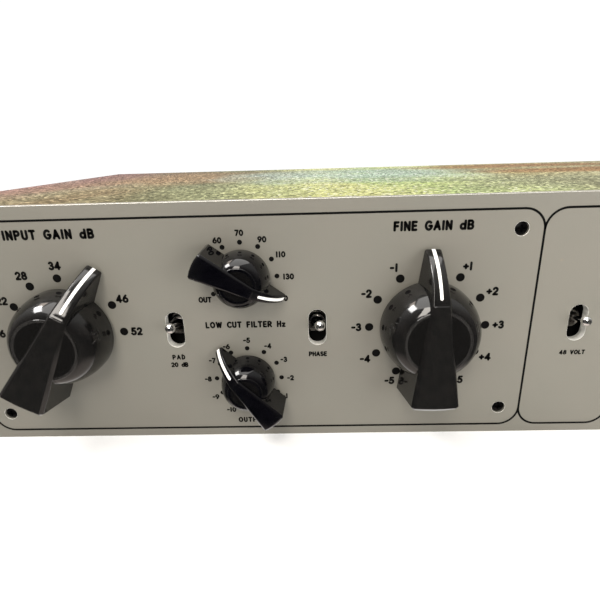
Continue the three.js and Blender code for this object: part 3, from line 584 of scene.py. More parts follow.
# Each glyph: its width, then its strokes, for a cap height of one.
GLYPHS = {
    "0": (0.60, [bow(0.30, 0.5, 0.30, 0.5, 90, 450, steps=20)]),
    "1": (0.24, [[(0.12, 0), (0.12, 1)]]),
    "2": (0.56, [bow(0.28, 0.72, 0.27, 0.28, 165, -35) + [(0.02, 0), (0.56, 0)]]),
    "3": (0.54, [bow(0.25, 0.76, 0.23, 0.24, 150, -90), bow(0.26, 0.26, 0.28, 0.26, 90, -150, steps=10)]),
    "4": (0.64, [[(0.64, 0.26), (0.0, 0.26), (0.46, 1), (0.46, 0)]]),
    "5": (0.56, [[(0.52, 1), (0.14, 1), (0.07, 0.53)] + bow(0.25, 0.31, 0.31, 0.31, 125, -150, steps=12)]),
    "6": (0.60, [bow(0.30, 0.30, 0.30, 0.30, 160, 520, steps=20), [(0.02, 0.36), (0.16, 0.72), (0.40, 1)]]),
    "7": (0.54, [[(0, 1), (0.54, 1), (0.16, 0)]]),
    "8": (0.58, [bow(0.29, 0.76, 0.23, 0.24, -90, 270, steps=18),
                 bow(0.29, 0.26, 0.29, 0.26, 90, 450, steps=20)]),
    "9": (0.60, [bow(0.30, 0.70, 0.30, 0.30, -20, 340, steps=20), [(0.58, 0.64), (0.44, 0.28), (0.20, 0)]]),
    "-": (0.34, [[(0.0, 0.46), (0.34, 0.46)]]),
    "+": (0.54, [[(0.0, 0.46), (0.54, 0.46)], [(0.27, 0.19), (0.27, 0.73)]]),
    "A": (0.66, [[(0, 0), (0.33, 1), (0.66, 0)], [(0.12, 0.32), (0.54, 0.32)]]),
    "B": (0.56, [[(0, 0), (0, 1), (0.28, 1)] + bow(0.28, 0.76, 0.23, 0.24, 90, -90) + [(0, 0.52)],
                 [(0.28, 0.52)] + bow(0.29, 0.26, 0.27, 0.26, 90, -90) + [(0, 0)]]),
    "C": (0.60, [bow(0.38, 0.5, 0.38, 0.5, 52, 308, steps=16)]),
    "D": (0.58, [[(0, 0), (0, 1), (0.18, 1)] + bow(0.18, 0.5, 0.40, 0.5, 90, -90, steps=14) + [(0, 0)]]),
    "E": (0.46, [[(0.46, 1), (0, 1), (0, 0), (0.46, 0)], [(0, 0.52), (0.40, 0.52)]]),
    "F": (0.44, [[(0.44, 1), (0, 1), (0, 0)], [(0, 0.52), (0.38, 0.52)]]),
    "G": (0.70, [bow(0.37, 0.5, 0.37, 0.5, 50, 345, steps=18) + [(0.72, 0.46), (0.44, 0.46)]]),
    "H": (0.54, [[(0, 0), (0, 1)], [(0.54, 0), (0.54, 1)], [(0, 0.52), (0.54, 0.52)]]),
    "I": (0.06, [[(0.03, 0), (0.03, 1)]]),
    "L": (0.44, [[(0, 1), (0, 0), (0.44, 0)]]),
    "N": (0.56, [[(0, 0), (0, 1), (0.56, 0), (0.56, 1)]]),
    "O": (0.72, [bow(0.36, 0.5, 0.36, 0.5, 90, 450, steps=24)]),
    "P": (0.54, [[(0, 0), (0, 1), (0.27, 1)] + bow(0.27, 0.73, 0.27, 0.27, 90, -90) + [(0, 0.46)]]),
    "R": (0.56, [[(0, 0), (0, 1), (0.27, 1)] + bow(0.27, 0.73, 0.27, 0.27, 90, -90) + [(0, 0.46)],
                 [(0.26, 0.46), (0.56, 0)]]),
    "S": (0.52, [bow(0.26, 0.75, 0.23, 0.25, 40, 270) + bow(0.26, 0.25, 0.26, 0.25, 90, -140)[1:]]),
    "T": (0.58, [[(0, 1), (0.58, 1)], [(0.29, 1), (0.29, 0)]]),
    "U": (0.54, [[(0, 1), (0, 0.27)] + bow(0.27, 0.27, 0.27, 0.27, 180, 360) + [(0.54, 1)]]),
    "V": (0.62, [[(0, 1), (0.31, 0), (0.62, 1)]]),
    "W": (0.90, [[(0, 1), (0.22, 0), (0.45, 0.9), (0.68, 0), (0.90, 1)]]),
    "z": (0.40, [[(0, 0.62), (0.40, 0.62), (0, 0), (0.40, 0)]]),
    "d": (0.56, [bow(0.28, 0.31, 0.28, 0.31, 0, 360, steps=18), [(0.56, 0), (0.56, 1)]]),
    " ": (0.42, []),
}


def add_text(work, text, x, z, height, width=None, weight=0.34):
    """Text centred on x, z, with the given cap height. Its letters are spaced to fill a given width."""
    height /= 1 + weight
    natural = sum(GLYPHS[letter][0] for letter in text) * height
    gaps = max(1, len(text) - 1)
    gap = (width - weight * height - natural) / gaps if width else 0.34 * height
    at = x - (natural + gap * gaps) / 2
    low = z - height / 2
    faces = []
    for letter in text:
        advance, strokes = GLYPHS[letter]
        for stroke in strokes:
            points = [(at + px * height, low + pz * height) for px, pz in stroke]
            closed = (Vector(points[0]) - Vector(points[-1])).length < 1e-7
            for part in [points[:-1]] if closed else parted(points):
                faces += add_stroke(work, part, weight * height / 2, closed)
        at += advance * height + gap
    return faces


# ---------------------------------------------------------------- front panel

TOGGLE_SLOT = (6.25 * MM, 13.3 * MM)
RACK_SLOT = (10.3 * MM, 6.4 * MM)
RACK_SLOT_X = 232.55 * MM
RACK_SLOT_RISE = 38.1 * MM
SHAFT_HOLE = 5.6 * MM
SCREW_HOLE = 2.35 * MM
SCREW_SEAT = 1.9 * MM                  # how deep the ring under a screw's head lies
LAMP_HOLE = 5.3 * MM
PANEL_EDGE = 1.5 * MM                  # faces this near the outline are the panel's own edge
SCREWS = [f"panel_screw_{number}" for number in range(1, 7)]
SCREW_PLACES = [centre_of(name) for name in SCREWS]
LAMP = centre_of("lamp_lens")


def front_panel():
    middle = (PANEL_LOW + PANEL_HIGH) / 2
    size = PANEL_HIGH - PANEL_LOW
    outlines = [rounded_rectangle(middle.x, middle.z, size.x, size.z, 0.9 * MM, 4)]
    for side in (-1, 1):
        for rise in (-1, 1):
            outlines.append(slot_outline(side * RACK_SLOT_X, middle.z + rise * RACK_SLOT_RISE, *RACK_SLOT, 8))
    for place in TOGGLE_PLACE.values():
        outlines.append(slot_outline(place.x, place.z, *TOGGLE_SLOT, 12))
    for place in DIAL_PLACE.values():
        outlines.append(circle(place.x, place.z, SHAFT_HOLE))
    for place in SCREW_PLACES:
        outlines.append(circle(place.x, place.z, SCREW_HOLE))
    outlines.append(circle(LAMP.x, LAMP.z, LAMP_HOLE))
    work = plate_mesh(outlines, FACE, PANEL_BACK, 0.08 * MM)
    # Painted highlight: bevels, and walls away from the outline and the screws, take the bright bare edge
    # material, which stands in for the light they catch as well as for bare metal.
    for face in work.faces:
        spot = face.calc_center_median()
        to_edge = min(size.x / 2 - abs(spot.x - middle.x), size.z / 2 - abs(spot.z - middle.z))
        to_screw = min(math.hypot(spot.x - place.x, spot.z - place.z) for place in SCREW_PLACES)
        walls_painted = to_edge <= PANEL_EDGE or to_screw < 2 * SCREW_HOLE
        facing = abs(face.normal.y)
        face.material_index = int(facing < 0.999 and (facing > 0.05 or not walls_painted))
    seat = mm((1.55, 0), (2.45, 0), (2.45, -0.4), (1.55, -0.4), (1.55, 0))
    for place in SCREW_PLACES:
        turned(work, seat, Vector((place.x, FACE + SCREW_SEAT, place.z)), segments=32)
    add_piece("front_panel_plate", work, ["panel_paint", "bare_edge_and_highlight"], ROOT, ("front_panel",))


LINE_HALF = 0.37 * MM
BORDER_LOW = 3.4 * MM
BORDER_HIGH = 83.3 * MM
BORDER_RADIUS = 7.0 * MM
SECTION_EDGES = [-186.9 * MM, 10.6 * MM, 42.8 * MM, 186.9 * MM]


def section_borders():
    """The first section is a closed loop; each later one starts and ends on its neighbour's right side."""
    work = bmesh.new()
    faces = []
    low = BORDER_LOW + BORDER_RADIUS
    high = BORDER_HIGH - BORDER_RADIUS
    for index, (left, right) in enumerate(zip(SECTION_EDGES, SECTION_EDGES[1:])):
        near, beyond = left + BORDER_RADIUS, right - BORDER_RADIUS
        path = []
        for x, z, start in ((near, low, 180), (beyond, low, 270), (beyond, high, 0), (near, high, 90)):
            path += arc_points(x, z, BORDER_RADIUS, BORDER_RADIUS, start, start + 90, 12)
        faces += add_stroke(work, path, LINE_HALF, closed=index == 0)
    thicken(work, faces)
    add_piece("section_borders", work, "legend_black", ROOT)


# The dots and numbers round a dial: dot radius and ring, number height, ring and drop, and how much further
# out numbers straight above and numbers of several figures to the side stand.
LARGE_SCALE = {
    "dot": 1.46, "ring": 20.05, "height": 3.1, "numbers": 24.45, "drop": 0.0, "above": 0.0, "beside": 0.1,
}
SMALL_SCALE = {
    "dot": 0.84, "ring": 11.85, "height": 2.15, "numbers": 14.5, "drop": 0.25, "above": 0.7, "beside": 0.6,
}
# Each scale: its first mark's angle, and its marks from there clockwise, MARK_STEP degrees apart.
SCALES = {
    "voltage_gain": (180, ["16", "22", "28", "34", "40", "46", "52"]),
    "fine_gain": (240, ["-5", "-4", "-3", "-2", "-1", "0", "+1", "+2", "+3", "+4", "+5"]),
    "rumble_filter": (210, ["OUT", "30", "45", "60", "70", "90", "110", "130", "180"]),
    "output": (240, ["-10", "-9", "-8", "-7", "-6", "-5", "-4", "-3", "-2", "-1", "0"]),
}
MARK_STEP = 30


def dial_scales():
    for name, (first, marks) in SCALES.items():
        place = DIAL_PLACE[name]
        sizes = LARGE_SCALE if name in LARGE_DIALS else SMALL_SCALE
        scale = {key: value * MM for key, value in sizes.items()}
        work = bmesh.new()
        faces = []
        for index, mark in enumerate(marks):
            angle = math.radians(first - MARK_STEP * index)
            across = Vector((math.cos(angle), math.sin(angle)))
            ring = scale["ring"]
            faces += add_dot(work, place.x + ring * across.x, place.z + ring * across.y, scale["dot"])
            reach = (scale["numbers"] + scale["above"] * across.y ** 8
                     + scale["beside"] * (len(mark) - 1) * across.x ** 2)
            level = place.z + reach * across.y - scale["drop"]
            faces += add_text(work, mark, place.x + reach * across.x, level, scale["height"])
        thicken(work, faces)
        add_piece(f"{name}_scale", work, "legend_black", ROOT)


SMALL_PRINT = 2.1                      # letters lower than this many mm are set bolder


def legends():
    dial, toggle = DIAL_PLACE, TOGGLE_PLACE
    rows = [  # text, its control, and in millimetres its place up the panel, letter height and width
        ("INPUT GAIN dB", dial["voltage_gain"], 78.6, 3.5, 31.0),
        ("FINE GAIN dB", dial["fine_gain"], 78.5, 3.4, 26.0),
        ("LOW CUT FILTER Hz", dial["rumble_filter"], 45.3, 2.45, 28.2),
        ("OUTPUT", dial["output"], 6.6, 2.25, 10.4),
        ("PAD", toggle["pad"], 33.1, 1.95, 4.7),
        ("20 dB", toggle["pad"], 30.1, 1.95, 6.3),
        ("PHASE", toggle["pole"], 33.5, 1.95, 6.5),
        ("48 VOLT", toggle["phantom"], 32.5, 1.8, 9.0),
        ("POWER", toggle["mains"], 32.5, 1.8, 7.6),
    ]
    work = bmesh.new()
    faces = []
    for text, place, z, height, width in rows:
        weight = 0.36 if height < SMALL_PRINT else 0.34
        faces += add_text(work, text, place.x, z * MM, height * MM, width * MM, weight)
    thicken(work, faces)
    add_piece("legends", work, "legend_black", ROOT)


# ---------------------------------------------------------------- panel screws


def panel_screws():
    """Black button heads with a cross recess, sunk in the panel."""
    crown, underside, shank = 0.35 * MM, -1.3 * MM, 1.25 * MM
    reach, half, depth = 1.3 * MM, 0.3 * MM, 0.9 * MM
    for name, place in zip(SCREWS, SCREW_PLACES):
        low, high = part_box(name)
        radius = (high.x - low.x) / 2
        end = low.y - high.y
        profile = [(0.0, 0.0), (radius * 0.35, -0.02 * MM), (radius * 0.7, -0.12 * MM)]
        profile += [(radius * 0.93, -crown), (radius, -crown - 0.25 * MM), (radius, underside)]
        profile += [(shank, underside), (shank, end), (0.0, end)]
        work = turned(bmesh.new(), profile, Vector((place.x, low.y, place.z)), segments=36)
        recess = bmesh.new()
        for width, height in ((reach, half), (half, reach)):
            block(recess, (place.x - width, low.y - MM, place.z - height),
                  (place.x + width, low.y + depth, place.z + height))
        piece = add_piece(f"{name}_head", work, "screw_black", ROOT, (name,))
        cut_with(piece, recess)


def cut_with(piece, tool_mesh):
    """Cuts the shape held in a bmesh out of a piece, and leaves nothing of the tool behind."""
    mesh = bpy.data.meshes.new("cutter")
    bmesh.ops.recalc_face_normals(tool_mesh, faces=tool_mesh.faces)
    tool_mesh.to_mesh(mesh)
    tool_mesh.free()
    cutter = placed("cutter", mesh)
    modifier = piece.modifiers.new("cut", "BOOLEAN")
    modifier.operation = "DIFFERENCE"
    modifier.solver = "EXACT"
    modifier.use_self = True
    modifier.object = cutter
    made = evaluated_mesh(piece)
    piece.modifiers.clear()
    old = piece.data
    made.name = old.name
    piece.data = made
    bpy.data.meshes.remove(old)
    bpy.data.objects.remove(cutter)
    bpy.data.meshes.remove(mesh)


# ---------------------------------------------------------------- pointer knobs

# Millimetres in a knob's own frame: distance along the pointer from the shaft, height off its underside.
KNOB_STAND_OFF = 0.8
LARGE_KNOB = {
    "skirt": 16.6, "rim": 1.4, "disc": 10.5, "disc_height": 14.6, "tail": 24.6, "tail_top": 23.3,
    "tail_height": 16.4, "crease": 12.8, "crease_height": 15.2, "tip": 27.5, "step": 0.4, "nose": 26.0,
    "root": 6.5, "taper": 0.139, "draft": 0.117, "bevel": 1.05, "edge": 0.42, "bulge": 0.45, "line": 14.2,
    "line_half": 0.42, "grub": 4.6,
}
SMALL_KNOB = {
    "skirt": 9.6, "rim": 0.9, "disc": 5.6, "disc_height": 10.9, "tail": 15.1, "tail_top": 15.0,
    "tail_height": 12.2, "crease": 5.2, "crease_height": 11.9, "tip": 15.85, "step": 0.25, "nose": 20.0,
    "root": 3.55, "taper": 0.124, "draft": 0.083, "bevel": 0.6, "edge": 0.3, "bulge": 0.5, "line": 7.1,
    "line_half": 0.42, "grub": 3.4,
}
KNOB_LIFT = 0.25
HOLLOW = 0.9                           # how deep the underside is hollowed
COLLAR = 4.0                           # how far out the face round the bore reaches
BORE, BORE_DEPTH = 3.35, 9.0
BUSH_LOW, BUSH_HIGH, BUSH_BORE, BUSH = 0.2, 8.8, 3.05, 4.6
KNOB_OF = {name: LARGE_KNOB if name in LARGE_DIALS else SMALL_KNOB for name in DIALS}


def knob_place(name):
    """From a knob's own frame (pointer +X, away from the panel +Z, millimetres) to its place on the panel."""
    angle = math.radians(POINTER[name])
    along = Vector((math.cos(angle), 0, math.sin(angle)))
    out = Vector((0, -1, 0))
    across = out.cross(along)
    centre = Vector((DIAL_PLACE[name].x, FACE - KNOB_STAND_OFF * MM, DIAL_PLACE[name].z))
    turn = Matrix((along, across, out)).transposed().to_4x4()
    return Matrix.Translation(centre) @ turn @ Matrix.Scale(MM, 4)


def revolve(work, profile, segments=144, material=0):
    """Turns a profile about a knob's own axis."""
    turned(work, profile, Vector(), Vector((0, 0, 1)), segments, material)


def half_width(k, along, height):
    return k["root"] - k["taper"] * along - k["draft"] * height


def nose_arc(k, steps):
    """Points down the arched nose with their outward directions, from the step at the crease to the tip."""
    start = Vector((k["crease"], k["crease_height"] - k["step"]))
    end = Vector((k["tip"], KNOB_LIFT + k["step"]))
    chord = end - start
    outward = Vector((-chord.y, chord.x)).normalized()
    centre = (start + end) / 2 - outward * math.sqrt(k["nose"] ** 2 - (chord.length / 2) ** 2)
    first = math.atan2(start.y - centre.y, start.x - centre.x)
    last = math.atan2(end.y - centre.y, end.x - centre.x)
    arc = []
    for step in range(steps + 1):
        angle = first + (last - first) * step / steps
        way = Vector((math.cos(angle), math.sin(angle)))
        arc.append((centre + way * k["nose"], way))
    return arc


def knob_bar(work, k):
    """The pointer bar: a sloping top, a small step at the crease, an arched nose, and sides that lean in.

    Each row holds the outline's point, the side face's point beside it, how much the end bulges there, and
    how far in the top's edge lies.
    """
    c, edge = k["bevel"], k["edge"]
    top = Vector((k["crease"] + k["tail_top"], k["crease_height"] - k["tail_height"])).normalized()
    up = Vector((-top.y, top.x))
    tail_top = Vector((-k["tail_top"], k["tail_height"]))
    crease = Vector((k["crease"], k["crease_height"]))
    inner = tail_top + Vector((c, -c))
    rows = [(Vector((-k["tail"], KNOB_LIFT)), Vector((-k["tail"] + c, KNOB_LIFT)), 1, c)]
    rows.append((tail_top - Vector((0, c)), inner, 1, c))
    rows.append((tail_top + top * c, inner, 0.6, c))
    for share in (0.3, 0.6):
        point = tail_top.lerp(crease, share)
        rows.append((point, point - up * c, 0, c))
    before = crease - top * 0.25
    narrow = (c + edge) / 2
    rows.append((before, before - up * narrow, 0, narrow))
    arc = nose_arc(k, 24)
    for point, way in arc:
        rows.append((point, point - way * edge, 0, edge))
    last = arc[-1][0]
    rows.append((Vector((last.x - 0.06, KNOB_LIFT)), Vector((last.x - 0.06 - edge, KNOB_LIFT)), 0, edge))
    grid = []
    for point, beside, bulge, inset in rows:
        reach = half_width(k, *point) - inset
        side_reach = half_width(k, *beside)
        line = [(beside.x, -side_reach, beside.y)]
        for share in (-1, -0.5, 0, 0.5, 1):
            swell = k["bulge"] * bulge * (1 - share * share)
            line.append((point.x - swell, share * reach, point.y))
        line.append((beside.x, side_reach, beside.y))
        grid.append([work.verts.new(place) for place in line])
    for row, following in zip(grid, grid[1:]):
        for first in range(len(row) - 1):
            work.faces.new((row[first], row[first + 1], following[first + 1], following[first]))
    work.faces.new([row[0] for row in grid])
    work.faces.new([row[-1] for row in grid][::-1])
    work.faces.new(grid[0][::-1] + grid[-1])
    bmesh.ops.remove_doubles(work, verts=work.verts, dist=1e-5)
    bmesh.ops.recalc_face_normals(work, faces=work.faces)
    crisp = [line for line in work.edges
             if len(line.link_faces) == 2 and line.calc_face_angle(0) > math.radians(18)]
    bmesh.ops.bevel(work, geom=crisp, offset=0.1, segments=2, profile=0.5, affect="EDGES", clamp_overlap=True)


def knob_skirt(work, k):
    """A moulded rim and a tall dome, with a fine lip and groove round the disc that caps it."""
    last = math.radians(78)
    lip = k["disc"] + 0.38
    crown = k["disc_height"]
    shoulder, floor, fillet = crown - 0.3, crown - 0.1, 0.35
    spread = (k["skirt"] - lip) / (1 - math.cos(last))
    rise = (shoulder - k["rim"]) / math.sin(last)
    outside, inside = k["skirt"], k["skirt"] - 1.6
    profile = [(COLLAR, HOLLOW), (inside, HOLLOW), (inside, 0.0), (outside - 0.3, 0.0), (outside, 0.3)]
    for step in range(33):
        angle = last * step / 32
        profile.append((outside - spread * (1 - math.cos(angle)), k["rim"] + rise * math.sin(angle)))
    bead = []
    for step in range(1, 9):
        angle = math.pi / 2 * step / 8
        bead.append((lip - fillet + fillet * math.cos(angle), shoulder + fillet * math.sin(angle)))
    revolve(work, profile + bead[:6])
    groove = [(lip - 0.47, crown + 0.02), (lip - 0.52, floor), (lip - 0.66, crown - 0.12), (lip - 1.0, floor)]
    revolve(work, bead[5:] + groove, material=2)
    revolve(work, [(lip - 1.0, floor), (0, floor)], material=1)
    revolve(work, [(COLLAR, HOLLOW), (BORE, HOLLOW), (BORE, BORE_DEPTH), (0, BORE_DEPTH)], 32)


def knob_inlay(work, k):
    """The white line let into the nose, from just past the crease to the tip."""
    half, proud, depth = k["line_half"], 0.04, 0.3
    arc = nose_arc(k, 72)
    kept = [(point, way) for point, way in arc if point.x >= k["line"]]
    start = kept[0][0]
    rows = []
    for point, way in kept:
        run = (point - start).length
        ahead = max(0.0, half - run) / half
        spread = 1 + 0.3 * (point.x - k["line"]) / (k["tip"] - k["line"])
        width = half * spread * math.sqrt(max(0.0, 1 - ahead * ahead)) + 0.03
        top = point + way * proud
        deep = point - way * depth
        corners = ((top, -width), (top, width), (deep, width), (deep, -width))
        rows.append([work.verts.new((spot.x, across, spot.y)) for spot, across in corners])
    for row, following in zip(rows, rows[1:]):
        for corner in range(4):
            after = (corner + 1) % 4
            work.faces.new((row[corner], following[corner], following[after], row[after]))
    work.faces.new(rows[0][::-1])
    work.faces.new(rows[-1])


def knob_insert(work, k):
    """The brass bush in the knob's bore, with the slotted grub screw that grips the shaft."""
    revolve(work, [(BUSH, BUSH_LOW), (BUSH_BORE, BUSH_LOW), (BUSH_BORE, BUSH_HIGH), (BUSH, BUSH_HIGH),
                   (BUSH, BUSH_LOW)], 32)
    grub = [(0, 0.7), (0.35, 0.7), (0.35, 0.0), (1.25, 0.0), (1.5, 0.25), (1.5, 6.0), (0, 6.0)]
    turned(work, grub, Vector((0, -k["skirt"] + 1.1, k["grub"])), Vector((0, 1, 0)), 24)


def knobs():
    """Each knob is its bar, its skirt with the disc and the ring round it, its white line and its bush."""
    for name in DIALS:
        k = KNOB_OF[name]
        place = knob_place(name)
        body = f"{name}_control"
        gloss, ring = ("knob_black", "knob_lip") if name in LARGE_DIALS else ("knob_jet", "knob_jet")
        parts = (
            ("bar", knob_bar, gloss, 2e-5),
            ("skirt", knob_skirt, [gloss, "knob_matt", ring], 1.0),
            ("line", knob_inlay, "inlay_white", 1.0),
            ("insert", knob_insert, "brass", 1e-5),
        )
        for part, build, material, flat_area in parts:
            work = bmesh.new()
            build(work, k)
            bmesh.ops.transform(work, matrix=place, verts=work.verts)
            replaces = (f"{name}_knob",) if part in ("bar", "skirt") else ()
            add_piece(f"{name}_knob_{part}", work, material, body, replaces, flat_area)


# ---------------------------------------------------------------- toggle switches

LEVER_TILT = math.radians(12)
LEVER_LEAN = {"pad": math.radians(-1.5), "pole": math.radians(4), "phantom": 0.0, "mains": 0.0}
LEVER_REACH = 13.5 * MM
BALL = 1.8 * MM
CASE_DEPTH = 10 * MM
THREAD_PITCH = 0.4 * MM
THREAD, THREAD_ROOT, THREAD_START = 3.14 * MM, 2.94 * MM, 0.16 * MM


def toggle_switches():
    for name in TOGGLES:
        place = TOGGLE_PLACE[name]
        toggle_bushing(name, place)
        toggle_case(name, place)
        toggle_nut(name, place)
        toggle_lever(name, place)


def toggle_bushing(name, place):
    """The threaded bushing, hollow round the lever."""
    low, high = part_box(f"{name}_toggle_body")
    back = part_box("sub_panel")[0].y + 1.5 * MM
    profile = [(2.35 * MM, place.y + 3.1 * MM - low.y)]
    profile += mm((2.35, 0.9), (2.62, 0.12), (2.7, 0), (2.98, 0)) + [(THREAD, THREAD_START)]
    for index in range(int((back - low.y - 0.2 * MM) / THREAD_PITCH)):
        for radius, share in ((THREAD, 0.3), (THREAD_ROOT, 0.65), (THREAD, 1)):
            profile.append((radius, THREAD_START + THREAD_PITCH * (index + share)))
    profile += [(radius, high.y - CASE_DEPTH - low.y) for radius in (THREAD, 0)]
    work = turned(bmesh.new(), profile, Vector((place.x, low.y, place.z)), BACKWARD)
    add_piece(f"{name}_toggle_bushing", work, "dark_nickel", ROOT)


def toggle_case(name, place):
    """The moulded case with its three solder lugs."""
    low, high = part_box(f"{name}_toggle_body")
    work = bmesh.new()
    block(work, (low.x, high.y - CASE_DEPTH, low.z), high, 0.4 * MM)
    for rise in (-4.7, 0, 4.7):
        lug = Vector((place.x, high.y, place.z + rise * MM))
        block(work, lug + Vector((-0.9, -0.1, -0.35)) * MM, lug + Vector((0.9, 3.6, 0.35)) * MM, 0.15 * MM,
              material=1)
    add_piece(f"{name}_toggle_case", work, ["black_moulding", "brass"], ROOT,
              (f"{name}_toggle_body",))


def toggle_nut(name, place):
    low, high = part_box(f"{name}_toggle_nut")
    outline = hexagon(place, (high.z - low.z) / math.sqrt(3))
    work = plate_mesh([outline, circle(place.x, place.z, 3.42 * MM)], low.y, high.y, 0.25 * MM)
    add_piece(f"{name}_toggle_hex", work, "dark_nickel", ROOT, (f"{name}_toggle_nut",))


def toggle_lever(name, place):
    """A bat lever: thin at the bushing, swelling to a neck behind its ball end."""
    side = math.sin(LEVER_LEAN[name])
    forward = Vector((side, -math.cos(LEVER_TILT), math.sin(LEVER_TILT))).normalized()
    centre = LEVER_REACH - BALL
    neck = 1.08 * MM
    start = -math.acos(neck / BALL)
    profile = mm((0, -1.7), (1.1, -1.3), (1.7, 0), (1.35, 1.0), (1.05, 1.5), (1.0, 3.4), (0.98, 6.4))
    profile.append((neck * 0.97, centre - 1.6 * MM))
    for step in range(19):
        angle = start + (math.pi / 2 - start) * step / 18
        profile.append((max(0.0, BALL * math.cos(angle)), centre + BALL * math.sin(angle)))
    profile[-1] = (0, LEVER_REACH)
    work = turned(bmesh.new(), profile, place, forward, 40)
    add_piece(f"{name}_toggle_bat", work, "chrome", f"{name}_lever", (f"{name}_toggle_lever",),
              flat_area=1.0)


# ---------------------------------------------------------------- pilot lamp


def pilot_lamp():
    lamp_bezel()
    lamp_lens()


def lamp_bezel():
    """The chrome bezel: a rounded flange on the panel, and a thread behind it."""
    low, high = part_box("lamp_bezel")
    flange = (high.x - low.x) / 2
    reach = high.y - low.y
    seat, thread, pitch = 1.5 * MM, 5.0 * MM, 0.5 * MM
    profile = mm((4.25, 6), (4.25, 0.5), (4.45, 0.12), (4.8, 0), (5.5, 0.08))
    profile += [(flange - 0.7 * MM, 0.45 * MM), (flange - 0.15 * MM, 0.95 * MM), (flange, 1.2 * MM)]
    profile += [(flange, seat), (thread, seat)]
    for turn in range(int((reach - seat) / pitch) - 1):
        along = seat + pitch * (turn + 1)
        profile += [(thread, along), (4.75 * MM, along + pitch / 2)]
    profile += [(thread, reach), (0, reach)]
    work = turned(bmesh.new(), profile, Vector((LAMP.x, low.y, LAMP.z)), BACKWARD, 56)
    add_piece("lamp_bezel_turned", work, "chrome", ROOT, ("lamp_bezel",))


def lamp_lens():
    low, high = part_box("lamp_lens")
    radius = (high.x - low.x) / 2
    dome, tip = 1.9 * MM, high.y - low.y
    angles = [math.pi / 2 * step / 10 for step in range(10, -1, -1)]
    profile = [(max(0.0, radius * math.cos(angle)), dome * (1 - math.sin(angle))) for angle in angles]
    profile += [(radius, tip), (0, tip)]
    work = turned(bmesh.new(), profile, Vector((LAMP.x, low.y, LAMP.z)), BACKWARD)
    add_piece("lamp_lens_dome", work, "lens_red", ROOT, ("lamp_lens",), flat_area=1.0)


# ---------------------------------------------------------------- cover


def cover():
    """The cover's sheet, folded down at both sides, with its pan-head screws."""
    low, high = COVER_LOW, COVER_HIGH
    sheet, bend = 1.5 * MM, 2.2 * MM
    outline = [(low.x, low.z)] + arc_points(low.x + bend, high.z - bend, bend, bend, 180, 90, 10)
    outline += arc_points(high.x - bend, high.z - bend, bend, bend, 90, 0, 10) + [(high.x, low.z)]
    inner = bend - sheet
    outline += [(high.x - sheet, low.z)] + arc_points(high.x - bend, high.z - bend, inner, inner, 0, 90, 6)
    outline += arc_points(low.x + bend, high.z - bend, inner, inner, 90, 180, 6) + [(low.x + sheet, low.z)]
    work = plate_mesh([outline], low.y, high.y, 0.18 * MM)
    add_piece("cover_sheet", work, "passivated_steel", ROOT, ("top_cover",))
    for side, outward, x in (("left", -1, low.x), ("right", 1, high.x)):
        for number in range(4):
            y = low.y + (high.y - low.y) * (0.08 + 0.28 * number)
            for row, z in (("low", 14 * MM), ("high", 72 * MM)):
                pan_screw(f"cover_screw_{side}_{number}_{row}", Vector((x, y, z)), Vector((outward, 0, 0)),
                          2.7 * MM, "zinc_steel")


def pan_screw(name, origin, outward, radius, material):
    """A domed screw head standing on a surface, with a cross recess."""
    height = radius * 0.62
    profile = []
    for step in range(8):
        angle = math.pi / 2 * step / 7
        profile.append((radius * math.sin(angle), height * (0.35 + 0.65 * math.cos(angle))))
    profile += [(radius, 0.0), (radius * 0.5, -0.6 * MM), (0.0, -0.6 * MM)]
    work = turned(bmesh.new(), profile, origin, outward, 28)
    across = outward.orthogonal().normalized()
    turn = Matrix((across, outward.cross(across), outward)).transposed().to_4x4()
    long, thin, deep = radius * 0.55, radius * 0.14, height * 0.55
    recess = bmesh.new()
    for reach_x, reach_y in ((long, thin), (thin, long)):
        block(recess, (-reach_x, -reach_y, height - deep), (reach_x, reach_y, height + MM))
    bmesh.ops.transform(recess, matrix=Matrix.Translation(origin) @ turn, verts=recess.verts)
    piece = add_piece(name, work, material, ROOT, flat_area=1.0)
    cut_with(piece, recess)


# ---------------------------------------------------------------- rear connectors

CONTACT_CIRCLE = 4.8 * MM
CONTACT_ANGLES = {"input_socket": (-150, -30, 90), "output_plug": (150, 30, -90)}


def contact_places(node, centre):
    """Centres of a connector's three contacts, in X and Z."""
    angles = [math.radians(angle) for angle in CONTACT_ANGLES[node]]
    return [(centre.x + CONTACT_CIRCLE * math.cos(angle), centre.z - CONTACT_CIRCLE * math.sin(angle))
            for angle in angles]


def connector_shell(node, opening):
    """The square flange and round body of a connector, its face's centre and its flange screws' places."""
    low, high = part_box(node)
    x, z, face = (low.x + high.x) / 2, (low.z + high.z) / 2, high.y
    centre = Vector((x, face, z))
    bore, shell, depth = 15 * MM, 11.6 * MM, face - low.y
    screws = [(x - 9.6 * MM, z + 12.2 * MM), (x + 9.6 * MM, z - 12.2 * MM)]
    outlines = [rounded_rectangle(x, z, high.x - low.x, high.z - low.z, 3 * MM, 8), circle(x, z, opening, 64)]
    outlines += [circle(*place, 1.65 * MM, 24) for place in screws]
    work = plate_mesh(outlines, face - 2.0 * MM, face, 0.3 * MM)
    turned(work, [(opening, 0.25 * MM), (opening, bore), (0, bore)], centre, segments=64)
    turned(work, [(0, depth), (shell, depth), (shell, 1.9 * MM)], centre, segments=64)
    return work, centre, screws


